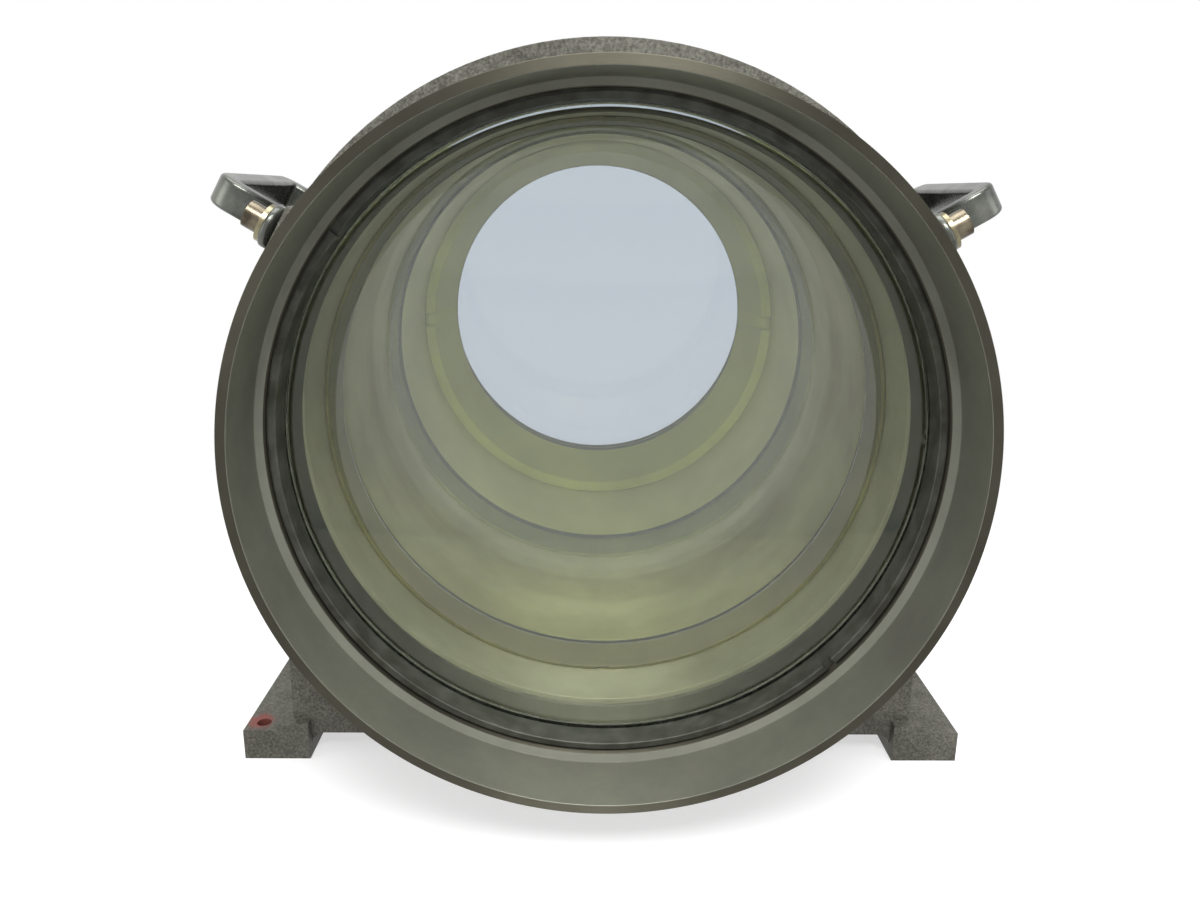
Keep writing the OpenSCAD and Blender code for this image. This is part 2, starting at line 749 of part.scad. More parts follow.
// A tube of the handle's section carried along a flat path of such rows
module bow(path, outline) {
    sides = len(outline);
    rows = len(path);
    points = [
        for (row = path, p = outline)
            [row[0] + p[0] * sin(row[2]), row[1] - p[0] * cos(row[2]), p[1]],
    ];
    skin = [
        for (k = [0 : rows - 2], i = [0 : sides - 1])
            let (j = (i + 1) % sides)
            [k * sides + i, k * sides + j, (k + 1) * sides + j, (k + 1) * sides + i],
    ];
    near = [for (i = [0 : sides - 1]) sides - 1 - i];
    far = [for (i = [0 : sides - 1]) (rows - 1) * sides + i];
    polyhedron(points, concat(skin, [near, far]), convexity = 4);
}

// One handle, drawn along X and turned to its angle
module handle(angle) {
    out_x = grip_out - handle_t / 2;
    leg1_y = lug1_y + lug_r + handle_t / 2;
    leg2_y = lug2_y - lug_r - handle_t / 2;
    on_axis() at_angle(angle) difference() {
        union() {
            bow(bow_path(seat_dist, out_x, leg1_y, leg2_y, handle_bend),
                section(handle_w, handle_t));
            for (end = [[lug1_y, leg1_y], [leg2_y, lug2_y]]) {
                translate([seat_dist, end[0], -handle_w / 2])
                    cube([lug_t, end[1] - end[0], handle_w]);
            }
            for (y = [lug1_y, lug2_y]) translate([seat_dist, y, 0]) rotate([0, 90, 0])
                cylinder(r = lug_r, h = lug_t, $fn = hole_fn);
        }
        for (y = [lug1_y, lug2_y]) translate([seat_dist - over, y, 0]) rotate([0, 90, 0])
            cylinder(r = m10[0] + 2 * slip_gap, h = lug_t + 2 * over, $fn = hole_fn);
    }
}

module right_handle() {
    color("#9a9b94") handle(handle_angle);
}

module left_handle() {
    color("#9a9b94") handle(180 - handle_angle);
}

// Puts its children on each of the four lugs, with X pointing outwards from the lug's face
module on_lugs() {
    on_axis() for (angle = [handle_angle, 180 - handle_angle], y = [lug1_y, lug2_y])
        at_angle(angle) translate([seat_dist + lug_t, y, 0]) children();
}

module handle_washers() {
    color("#b5b3a0") on_lugs() rotate([0, 90, 0]) difference() {
        cylinder(r = washer_r, h = washer_t, $fn = hole_fn);
        translate([0, 0, -over])
            cylinder(r = m10[0] + 2 * slip_gap, h = washer_t + 2 * over, $fn = hole_fn);
    }
}

module handle_screws() {
    color("#6b675c") on_lugs() translate([washer_t, 0, 0]) rotate([0, 0, 90])
        cap_screw(m10, handle_screw_len);
}

housing();
front_ring();
front_retaining_ring();
front_lens();
front_lens_gasket();
front_ring_gasket();
front_ring_screws();
front_ring_dowels();
retainer_set_screws();
main_barrel();
main_barrel_screws();
second_retaining_ring();
second_lens();
second_lens_gasket();
baffle_ring();
rear_cell();
rear_cell_gasket();
rear_cell_screws();
rear_retaining_ring();
rear_crown_lens();
rear_flint_lens();
rear_lens_gasket();
left_handle();
right_handle();
handle_washers();
handle_screws();
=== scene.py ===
"""Looks of a large relay lens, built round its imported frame.

Lengths are millimetres until a mesh is made, and metres in Blender. A turned piece is drawn as a
profile of (radius, depth) points: radius from the optical axis, depth behind the front face.
"""

import logging
import math
from dataclasses import dataclass
from enum import Enum

import bmesh
import bpy
import numpy as np
from mathutils import Euler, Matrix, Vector


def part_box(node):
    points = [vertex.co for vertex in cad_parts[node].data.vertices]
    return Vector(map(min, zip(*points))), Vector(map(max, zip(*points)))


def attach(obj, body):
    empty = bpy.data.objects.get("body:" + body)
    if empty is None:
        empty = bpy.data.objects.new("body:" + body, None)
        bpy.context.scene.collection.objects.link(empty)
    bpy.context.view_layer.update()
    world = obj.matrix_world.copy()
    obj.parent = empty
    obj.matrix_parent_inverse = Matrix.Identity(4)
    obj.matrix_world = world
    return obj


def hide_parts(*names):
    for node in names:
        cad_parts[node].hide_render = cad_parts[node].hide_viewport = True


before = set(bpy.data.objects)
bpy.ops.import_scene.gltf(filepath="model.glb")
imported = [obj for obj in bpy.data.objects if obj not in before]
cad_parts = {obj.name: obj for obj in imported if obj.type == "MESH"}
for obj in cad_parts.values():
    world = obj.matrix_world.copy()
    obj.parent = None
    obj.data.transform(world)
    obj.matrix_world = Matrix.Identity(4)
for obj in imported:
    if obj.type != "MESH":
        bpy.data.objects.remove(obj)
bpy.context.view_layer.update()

log = logging.getLogger("relay_lens")
MM = 0.001
BODY = "root"
WHITE = (1.0, 1.0, 1.0, 1.0)
SLOT_WIDE, SLOT_LONG, SLOT_DEEP = 6.0, 16.0, 2.0
SLOT_IN = 3.0  # from a ring's outer edge in to the middle of a spanner slot
CLEAR = 1.0  # how far a cutter starts outside the face that it enters


def linear(colour: str) -> tuple[float, float, float, float]:
    """Turns an sRGB hex colour into linear light with full alpha.

    Args:
        colour: Six hex digits, such as "8a8b85".

    Returns:
        Red, green, blue and alpha as Blender's sockets take them.
    """
    srgb = np.array([int(colour[i : i + 2], 16) for i in (0, 2, 4)]) / 255
    light = np.where(srgb <= 0.04045, srgb / 12.92, ((srgb + 0.055) / 1.055) ** 2.4)
    return (*(float(c) for c in light), 1.0)


class Side(Enum):
    """The two sides of the lens, as seen from its front."""

    LEFT = -1
    RIGHT = 1


@dataclass(frozen=True)
class Axis:
    """The optical axis: its height, and where the front face lies along it."""

    height: float
    front_y: float

    def place(self, x: np.ndarray, depth: np.ndarray, z: np.ndarray) -> np.ndarray:
        """Gives row-frame points in metres for places across, behind and above the axis."""
        return np.stack([x, self.front_y + depth, self.height + z], axis=-1) * MM


@dataclass(frozen=True)
class Profile:
    """A profile's points and outward normals, with a finish number for each stretch."""

    points: np.ndarray
    normals: np.ndarray
    finish: np.ndarray

    @staticmethod
    def join(*parts: "Profile") -> "Profile":
        """Lays profiles end to end.

        Args:
            parts: The profiles, in order.

        Returns:
            One profile.
        """
        return Profile(
            np.concatenate([p.points for p in parts]),
            np.concatenate([p.normals for p in parts]),
            np.concatenate([p.finish for p in parts]),
        )


def softened(
    corners: list[tuple[float, float]], bevel: float = 0.4, steps: int = 4, closed: bool = True,
    finish: int = 0,
) -> Profile:
    """Rounds the corners of an outline that runs anticlockwise.

    A corner P between flats from A and to B becomes the curve
    (1-t)^2 (P+gA) + 2t(1-t) P + t^2 (P+gB), where gA and gB reach back along each flat by the
    bevel, or by 45% of the flat where that is less. Its tangent blends one flat's direction
    into the other's, and the normal is the tangent turned a quarter clockwise.

    Args:
        corners: (radius, depth) points in millimetres.
        bevel: How far a corner's rounding reaches along its flats.
        steps: Points on each rounding.
        closed: False for an open stretch, whose two end points stay as they are.
        finish: Finish number of the whole stretch.

    Returns:
        The rounded profile.
    """
    p = np.array(corners, float)
    before, after = np.roll(p, 1, 0) - p, np.roll(p, -1, 0) - p
    la, lb = np.linalg.norm(before, axis=1), np.linalg.norm(after, axis=1)
    reach_a = np.minimum(bevel, 0.45 * la)[:, None, None]
    reach_b = np.minimum(bevel, 0.45 * lb)[:, None, None]
    ua, ub = (before / la[:, None])[:, None], (after / lb[:, None])[:, None]
    t = np.linspace(0, 1, steps)[None, :, None]
    centre = p[:, None]
    curve = centre + (1 - t) ** 2 * reach_a * ua + t**2 * reach_b * ub
    tangent = (1 - t) * -ua + t * ub
    if not closed:
        curve[0], curve[-1] = centre[0], centre[-1]
        tangent[0], tangent[-1] = ub[0], -ua[-1]
        keep = np.ones(curve.shape[:2], bool)
        keep[0, 1:] = keep[-1, 1:] = False
        curve, tangent = curve[keep], tangent[keep]
    curve, tangent = curve.reshape(-1, 2), tangent.reshape(-1, 2)
    tangent /= np.linalg.norm(tangent, axis=1)[:, None]
    normals = np.stack([tangent[:, 1], -tangent[:, 0]], axis=1)
    return Profile(curve, normals, np.full(len(curve), finish))


def spherical(
    clear_r: float, depth: float, curve: float, bulge: int, faces: int, outward: bool,
    steps: int = 48,
) -> Profile:
    """Half the section of a lens's spherical surface.

    Depth at radius r is the edge's depth plus bulge (sag(clear_r) - sag(r)), where sag(r) is
    curve - sqrt(curve^2 - r^2).

    Args:
        clear_r: Radius at which the surface meets its flat land.
        depth: Depth of that edge.
        curve: Radius of the sphere.
        bulge: -1 where the middle lies in front of the edge and 1 where it lies behind.
        faces: -1 for a surface that faces forwards and 1 for one that faces back.
        outward: True to run from the axis out, False to run in.
        steps: Number of points.

    Returns:
        The open profile.
    """
    r = np.sin(np.linspace(0, 1, steps) * math.asin(clear_r / curve)) * curve
    sag = curve - np.sqrt(curve**2 - r**2)
    y = depth + bulge * (sag[-1] - sag)
    slope = -bulge * r / np.sqrt(curve**2 - r**2)
    normals = np.stack([-slope * faces, np.full_like(r, faces)], axis=1)
    normals /= np.linalg.norm(normals, axis=1)[:, None]
    points = np.stack([r, y], axis=1)
    if not outward:
        points, normals = points[::-1], normals[::-1]
    return Profile(points, normals, np.zeros(steps, int))


def lens_profile(
    clear_r: float, edge_r: float, front: float, back: float, front_curve: float,
    back_curve: float, bulge: int,
) -> Profile:
    """A lens's half section: a convex front, a flat land with a ground edge, and its back.

    Args:
        clear_r: Radius at which both surfaces meet their flat lands.
        edge_r: Radius of the ground edge.
        front: Depth of the front land.
        back: Depth of the back land.
        front_curve: Radius of the front surface.
        back_curve: Radius of the back surface.
        bulge: 1 where the back is convex, -1 where it is hollow.

    Returns:
        The open profile, with finish 0 on the polished surfaces and 1 on the rest.
    """
    land = [(clear_r, front), (edge_r, front), (edge_r, back), (clear_r, back)]
    return Profile.join(
        spherical(clear_r, front, front_curve, -1, -1, True),
        softened(land, 0.5, closed=False, finish=1),
        spherical(clear_r, back, back_curve, bulge, 1, False),
    )


def make_object(
    name: str, points: np.ndarray, faces: list, normals: np.ndarray | None = None,
    finish: np.ndarray | None = None,
) -> bpy.types.Object:
    """Puts arrays into a smooth mesh object at the origin.

    Args:
        name: The piece's name.
        points: Row-frame points in metres.
        faces: Lists of point numbers.
        normals: One normal for each point, or None to let Blender work them out.
        finish: Material slot number of each face.

    Returns:
        The new object, linked to the scene.
    """
    mesh = bpy.data.meshes.new(name)
    mesh.from_pydata(points.tolist(), [], faces)
    mesh.polygons.foreach_set("use_smooth", np.ones(len(faces), bool))
    if finish is not None:
        mesh.polygons.foreach_set("material_index", finish.astype(np.int32))
    mesh.update()
    if normals is not None:
        mesh.normals_split_custom_set_from_vertices(normals.tolist())
    piece = bpy.data.objects.new(name, mesh)
    bpy.context.scene.collection.objects.link(piece)
    return piece


def revolve(
    name: str, profile: Profile, axis: Axis, segments: int = 256, closed: bool = True,
    exact_normals: bool = True,
) -> bpy.types.Object:
    """Turns a profile about the optical axis.

    A point (r, y) goes to (r cos a, y, r sin a) for even steps of the angle a. A point on the
    axis becomes one vertex, and the faces beside it triangles.

    Args:
        name: The piece's name.
        profile: Anticlockwise profile.
        axis: The optical axis.
        segments: Steps round the axis.
        closed: True to join the profile's last point to its first.
        exact_normals: False on a piece that is cut afterwards.

    Returns:
        The new object.
    """
    points, normals = profile.points, profile.normals
    a = np.arange(segments) * 2 * math.pi / segments
    pole = points[:, 0] < 1e-6
    count = np.where(pole, 1, segments)
    start = np.concatenate([[0], np.cumsum(count)[:-1]])
    ring = np.where(pole[:, None], 0, np.arange(segments)[None, :])
    ids = start[:, None] + ring
    radius, depth = points[:, :1], points[:, 1:]
    grid = axis.place(radius * np.cos(a), depth + 0 * a, radius * np.sin(a))
    turned = np.stack(
        [normals[:, :1] * np.cos(a), normals[:, 1:] + 0 * a, normals[:, :1] * np.sin(a)], axis=-1
    )
    first = np.zeros(ids.shape, bool)
    first[:, 0] = True
    keep = first | ~pole[:, None]
    rows = np.arange(len(points) if closed else len(points) - 1)
    ahead = (rows + 1) % len(points)
    near, far = ids[rows], ids[ahead]
    quads = np.stack([near, far, np.roll(far, -1, 1), np.roll(near, -1, 1)], axis=-1)
    slots = np.repeat(profile.finish[rows][:, None], segments, 1)
    faces, slot_list = [], []
    for near_pole, far_pole in ((False, False), (True, False), (False, True)):
        mine = (pole[rows] == near_pole) & (pole[ahead] == far_pole)
        corners = [0, 1, 2, 3]
        if near_pole:
            corners = [0, 1, 2]
        if far_pole:
            corners = [0, 1, 3]
        faces += quads[mine][..., corners].reshape(-1, len(corners)).tolist()
        slot_list.append(slots[mine].ravel())
    given = turned[keep] if exact_normals else None
    return make_object(name, grid[keep], faces, given, np.concatenate(slot_list))


def merged(parts: list[tuple[np.ndarray, list]]) -> tuple[np.ndarray, list]:
    """Lays the points and faces of several shapes into one.

    Args:
        parts: Points and faces of each shape.

    Returns:
        All points, and faces whose numbers are shifted to match.
    """
    points, faces = [], []
    for part_points, part_faces in parts:
        shift = sum(len(p) for p in points)
        points.append(part_points)
        faces += [[shift + k for k in face] for face in part_faces]
    return np.concatenate(points), faces


def tube_faces(rows: int, count: int) -> list:
    """Faces of a capped tube, whose rows of points are rings that close on themselves.

    Point i of row k joins point i + 1, and both join their like in row k + 1.

    Args:
        rows: Number of rows.
        count: Points in each row.

    Returns:
        Two caps and then the sides, as lists of point numbers.
    """
    start = np.arange(rows - 1)[:, None] * count
    i = np.arange(count)
    j = (i + 1) % count
    sides = np.stack([start + i, start + j, start + count + j, start + count + i], axis=-1)
    return [i[::-1].tolist(), (i + (rows - 1) * count).tolist(), *sides.reshape(-1, 4).tolist()]


def circle(radius: float, count: int = 32) -> np.ndarray:
    """Points of a circle, anticlockwise."""
    a = np.arange(count) * 2 * math.pi / count
    return np.stack([np.cos(a), np.sin(a)], axis=1) * radius


def oblong(width: float, height: float) -> np.ndarray:
    """Corners of a rectangle about the origin, anticlockwise."""
    signs = np.array([(-1, -1), (1, -1), (1, 1), (-1, 1)])
    return signs * np.array([width, height]) / 2


@dataclass(frozen=True)
class Cutter:
    """A straight tool: an outline in two directions, pushed along a third one."""

    outline: np.ndarray
    start: tuple[float, float, float]
    across: tuple[float, float, float]
    reach: tuple[float, float, float]

    def arrays(self) -> tuple[np.ndarray, list]:
        """Gives the tool's points, start + u across + v up (+ reach), and its faces.

        Up is the unit reach crossed with across, which makes the faces look outwards.

        Returns:
            Points in millimetres and lists of point numbers.
        """
        across, reach = np.array(self.across, float), np.array(self.reach, float)
        up = np.cross(reach / np.linalg.norm(reach), across)
        near = np.array(self.start) + self.outline[:, :1] * across + self.outline[:, 1:] * up
        return np.concatenate([near, near + reach]), tube_faces(2, len(near))


def cut(piece: bpy.types.Object, axis: Axis, tools: list[Cutter]) -> None:
    """Cuts holes or slots and gives the mesh area-weighted normals, so its flats stay flat.

    Args:
        piece: The piece to cut.
        axis: The optical axis, from which the tools' places are measured.
        tools: Cutters that don't touch each other.
    """
    points, faces = merged([tool.arrays() for tool in tools])
    made = make_object("cutter", axis.place(*points.T), faces)
    modifier = piece.modifiers.new("cut", "BOOLEAN")
    modifier.object = made
    modifier.solver = "EXACT"
    graph = bpy.context.evaluated_depsgraph_get()
    mesh = bpy.data.meshes.new_from_object(piece.evaluated_get(graph))
    piece.modifiers.clear()
    piece.data = mesh
    bpy.data.objects.remove(made)
    mesh.polygons.foreach_set("use_smooth", np.ones(len(mesh.polygons), bool))
    flats = piece.modifiers.new("flat_faces", "WEIGHTED_NORMAL")
    flats.mode = "FACE_AREA"
    flats.keep_sharp = False


def around(angle: float, radius: float, depth: float) -> tuple[float, float, float]:
    """A point at an angle in degrees above +X, as across, depth and height from the axis."""
    a = math.radians(angle)
    return (radius * math.cos(a), depth, radius * math.sin(a))


def spanner_slots(angles: tuple[float, ...], ring_r: float, depth: float) -> list[Cutter]:
    """Tools for a retaining ring's spanner slots, across its front face.

    Args:
        angles: Each slot's angle in degrees.
        ring_r: The ring's outer radius.
        depth: Depth of its front face.

    Returns:
        One tool for each slot.
    """
    return [
        Cutter(
            oblong(SLOT_WIDE, SLOT_LONG), around(a, ring_r - SLOT_IN, depth - CLEAR),
            around(a + 90, 1, 0), (0, SLOT_DEEP + CLEAR, 0),
        )
        for a in angles
    ]


def add(
    tree: bpy.types.NodeTree, kind: str, inputs: dict[str | int, object] | None = None,
    stops: tuple[tuple[float, str], ...] = (), **settings: object,
) -> bpy.types.Node:
    """Adds a node with its settings and links.

    Args:
        tree: The node tree.
        kind: The node's type name.
        inputs: Input names or numbers, each with a value, a socket to link, or a node whose
            first output is linked.
        stops: A colour ramp's rising places, with their hex colours.
        settings: The node's own properties.

    Returns:
        The node.
    """
    made = tree.nodes.new(kind)
    for key, value in settings.items():
        setattr(made, key, value)
    for key, value in (inputs or {}).items():
        if isinstance(value, bpy.types.Node):
            value = value.outputs[0]
        if isinstance(value, bpy.types.NodeSocket):
            tree.links.new(value, made.inputs[key])
        else:
            made.inputs[key].default_value = value
    if stops:
        elements = made.color_ramp.elements
        while len(elements) < len(stops):
            elements.new(0.5)
        for element, (place, colour) in zip(elements, stops, strict=True):
            element.position, element.color = place, linear(colour)
    return made


@dataclass(frozen=True)
class Recipe:
    """A finish: its material's name, and the shader that each kind of finish adds."""

    name: str

    def shader(self, tree: bpy.types.NodeTree, axis: Axis) -> bpy.types.Node:
        """Adds the finish's shader to a tree and returns it."""
        raise NotImplementedError

    def build(self, axis: Axis) -> bpy.types.Material:
        """Builds the material.

        Args:
            axis: The optical axis, round which turned metal is drawn.

        Returns:
            The material.
        """
        material = bpy.data.materials.new(self.name)
        material.use_nodes = True
        tree = material.node_tree
        tree.nodes.clear()
        add(tree, "ShaderNodeOutputMaterial", {"Surface": self.shader(tree, axis)})
        log.info("finish %s", self.name)
        return material


@dataclass(frozen=True)
class TurnedMetal(Recipe):
    """Aluminium turned on a lathe: fine rings that spread a lamp's light into fans.

    The tool's feed leaves a ring about each 0.15 mm, too fine to show, so feed_mm draws them
    coarser. The mottle is the slow change of shade that handling leaves.
    """

    colour: str
    stain: str
    roughness: float = 0.38
    metallic: float = 1.0
    anisotropic: float = 0.75
    feed_mm: float = 0.7
    groove: float = 0.12
    mottle_mm: float = 60.0
    ring_spread: float = 0.06
    mottle_spread: float = 0.04

    def shader(self, tree: bpy.types.NodeTree, axis: Axis) -> bpy.types.Node:
        """Adds the shader, with rings of noise that depends on radius and depth alone.

        Args:
            tree: The material's node tree.
            axis: The optical axis.

        Returns:
            The shader.
        """
        coords = add(tree, "ShaderNodeTexCoord").outputs["Object"]
        centred = add(
            tree, "ShaderNodeMapping", {"Vector": coords, "Location": (0, 0, -axis.height * MM)}
        )
        across = add(
            tree, "ShaderNodeVectorMath", {0: centred, 1: (1, 0, 1)}, operation="MULTIPLY"
        )
        radius = add(tree, "ShaderNodeVectorMath", {0: across}, operation="LENGTH")
        depth = add(tree, "ShaderNodeSeparateXYZ", {"Vector": centred}).outputs["Y"]
        along = add(tree, "ShaderNodeCombineXYZ", {"X": radius.outputs["Value"], "Y": depth})
        rings = add(
            tree, "ShaderNodeTexNoise",
            {"Vector": along, "Scale": 1 / (self.feed_mm * MM), "Detail": 2.0},
        )
        mottle = add(
            tree, "ShaderNodeTexNoise",
            {"Vector": centred, "Scale": 1 / (self.mottle_mm * MM), "Detail": 5.0,
             "Roughness": 0.62},
        )
        colour = add(
            tree, "ShaderNodeValToRGB", {"Fac": mottle},
            ((0.32, self.stain), (0.66, self.colour)),
        )
        ring_part = add(
            tree, "ShaderNodeMapRange",
            {"Value": rings, "To Min": -self.ring_spread, "To Max": self.ring_spread},
        )
        mottle_part = add(
            tree, "ShaderNodeMapRange",
            {"Value": mottle, "To Min": self.roughness + self.mottle_spread,
             "To Max": self.roughness - self.mottle_spread},
        )
        rough = add(tree, "ShaderNodeMath", {0: ring_part, 1: mottle_part}, operation="ADD")
        bump = add(
            tree, "ShaderNodeBump",
            {"Height": rings, "Strength": self.groove, "Distance": self.feed_mm * MM / 4},
        )
        tangent = add(tree, "ShaderNodeTangent", direction_type="RADIAL", axis="Y")
        # A quarter turn stretches each highlight across the rings, as a turned face does
        return add(
            tree, "ShaderNodeBsdfPrincipled",
            {"Base Color": colour, "Roughness": rough, "Normal": bump, "Tangent": tangent,
             "Metallic": self.metallic, "Anisotropic": self.anisotropic,
             "Anisotropic Rotation": 0.25},
        )


@dataclass(frozen=True)
class CastPaint(Recipe):
    """Matt paint on a sand casting: soft lumps, grain, rubbed patches and one daubed hole.

    Moulding sand leaves a grain of about 0.4 mm, too fine to show, so grain_mm draws it
    coarser. edge_mm is how far the foundry's corners round off.
    """

    colour: str
    rubbed: str
    dirt: str
    marker: str = "8e3f39"
    marker_mm: tuple[float, float, float] = (-223.0, -88.0, 20.0)
    marker_r_mm: float = 7.8
    marker_soft_mm: float = 1.5
    marker_wander_mm: float = 16.0
    marker_cover: float = 0.7
    grain_mm: float = 1.6
    lump_mm: float = 14.0
    patch_mm: float = 45.0
    edge_mm: float = 1.2
    grain_share: float = 0.6
    lump_lift: float = 1.5
    relief: float = 0.8
    metallic: float = 0.15

    def shader(self, tree: bpy.types.NodeTree, axis: Axis) -> bpy.types.Node:
        """Adds the shader, whose tone is part patches and part grain.

        Args:
            tree: The material's node tree.
            axis: The optical axis, which this finish doesn't need.

        Returns:
            The shader.
        """
        coords = add(tree, "ShaderNodeTexCoord").outputs["Object"]
        grain = add(
            tree, "ShaderNodeTexNoise",
            {"Vector": coords, "Scale": 1 / (self.grain_mm * MM), "Detail": 4.0,
             "Roughness": 0.6},
        )
        lumps = add(
            tree, "ShaderNodeTexNoise",
            {"Vector": coords, "Scale": 1 / (self.lump_mm * MM), "Detail": 3.0},
        )
        patches = add(
            tree, "ShaderNodeTexNoise",
            {"Vector": coords, "Scale": 1 / (self.patch_mm * MM), "Detail": 6.0,
             "Roughness": 0.7},
        )
        patch_part = add(
            tree, "ShaderNodeMapRange", {"Value": patches, "To Max": 1 - self.grain_share}
        )
        grain_part = add(
            tree, "ShaderNodeMapRange", {"Value": grain, "To Max": self.grain_share}
        )
        tone = add(tree, "ShaderNodeMath", {0: patch_part, 1: grain_part}, operation="ADD")
        paint = add(
            tree, "ShaderNodeValToRGB", {"Fac": tone},
            ((0.38, self.dirt), (0.5, self.colour), (0.62, self.rubbed)),
        )
        # The daub fills a ball round the hole, and the paint's tone makes its edge wander
        away = add(
            tree, "ShaderNodeVectorMath",
            {0: coords, 1: tuple(c * MM for c in self.marker_mm)}, operation="DISTANCE",
        )
        wander = add(
            tree, "ShaderNodeMapRange",
            {"Value": tone, "To Min": -self.marker_wander_mm * MM,
             "To Max": self.marker_wander_mm * MM},
        )
        edge = add(
            tree, "ShaderNodeMath", {0: away.outputs["Value"], 1: wander}, operation="ADD"
        )
        stroke = add(
            tree, "ShaderNodeMapRange",
            {"Value": edge, "From Min": (self.marker_r_mm + self.marker_soft_mm) * MM,
             "From Max": (self.marker_r_mm - self.marker_soft_mm) * MM,
             "To Max": self.marker_cover},
        )
        colour = add(
            tree, "ShaderNodeMix", {0: stroke, 6: paint, 7: linear(self.marker)},
            data_type="RGBA",
        )
        swell = add(tree, "ShaderNodeMapRange", {"Value": lumps, "To Max": self.lump_lift})
        height = add(tree, "ShaderNodeMath", {0: grain, 1: swell}, operation="ADD")
        soft = add(tree, "ShaderNodeBevel", {"Radius": self.edge_mm * MM}, samples=4)
        bump = add(
            tree, "ShaderNodeBump",
            {"Height": height, "Strength": self.relief, "Distance": self.grain_mm * MM / 4,
             "Normal": soft},
        )
        rough = add(
            tree, "ShaderNodeMapRange", {"Value": grain, "To Min": 0.5, "To Max": 0.75}
        )
        return add(
            tree, "ShaderNodeBsdfPrincipled",
            {"Base Color": colour.outputs[2], "Roughness": rough, "Normal": bump,
             "Metallic": self.metallic},
        )


@dataclass(frozen=True)
class PlainSurface(Recipe):
    """A plain maker's finish, such as oxide, rubber or ground steel, with a little mottle.

    The real grain is well under 0.1 mm, too fine to show, so grain_mm draws it coarser.
    """

    colour: str
    worn: str
    roughness: float
    metallic: float = 0.0
    grain_mm: float = 1.5
    relief: float = 0.15
    rough_spread: float = 0.08
    patch_grains: float = 8.0

    def shader(self, tree: bpy.types.NodeTree, axis: Axis) -> bpy.types.Node:
        """Adds the shader, with a worn colour in patches of several grains.

        Args:
            tree: The material's node tree.
            axis: The optical axis, which this finish doesn't need.

        Returns:
            The shader.
        """
        coords = add(tree, "ShaderNodeTexCoord").outputs["Object"]
        grain = add(
            tree, "ShaderNodeTexNoise",
            {"Vector": coords, "Scale": 1 / (self.grain_mm * MM), "Detail": 5.0,
             "Roughness": 0.65},
        )
        patches = add(
            tree, "ShaderNodeTexNoise",
            {"Vector": coords, "Scale": 1 / (self.grain_mm * self.patch_grains * MM),
             "Detail": 4.0},
        )
        colour = add(
            tree, "ShaderNodeValToRGB", {"Fac": patches},
            ((0.38, self.colour), (0.68, self.worn)),
        )
        rough = add(
            tree, "ShaderNodeMapRange",
            {"Value": grain, "To Min": self.roughness - self.rough_spread,
             "To Max": self.roughness + self.rough_spread},
        )
        bump = add(
            tree, "ShaderNodeBump",
            {"Height": grain, "Strength": self.relief, "Distance": self.grain_mm * MM / 6},
        )
        return add(
            tree, "ShaderNodeBsdfPrincipled",
            {"Base Color": colour, "Roughness": rough, "Normal": bump,
             "Metallic": self.metallic},
        )


@dataclass(frozen=True)
class PolishedGlass(Recipe):
    """Polished, coated optical glass: sharp reflections over a view straight through.

    Light that falls through it goes straight, so that the lamps reach the barrel.
    """

    tint: str
    ior: float = 1.6

    def shader(self, tree: bpy.types.NodeTree, axis: Axis) -> bpy.types.Node:
        """Adds the glass, and plain tinted clearness for shadow and diffuse rays.

        Args:
            tree: The material's node tree.
            axis: The optical axis, which this finish doesn't need.

        Returns:
            The shader.
        """
        glass = add(
            tree, "ShaderNodeBsdfPrincipled",
            {"Base Color": linear(self.tint), "Roughness": 0.0, "IOR": self.ior,
             "Transmission Weight": 1.0},
        )
        clear = add(tree, "ShaderNodeBsdfTransparent", {"Color": linear(self.tint)})
        path = add(tree, "ShaderNodeLightPath").outputs
        straight = add(
            tree, "ShaderNodeMath", {0: path["Is Shadow Ray"], 1: path["Is Diffuse Ray"]},
            operation="MAXIMUM",
        )
        return add(tree, "ShaderNodeMixShader", {0: straight, 1: glass, 2: clear})


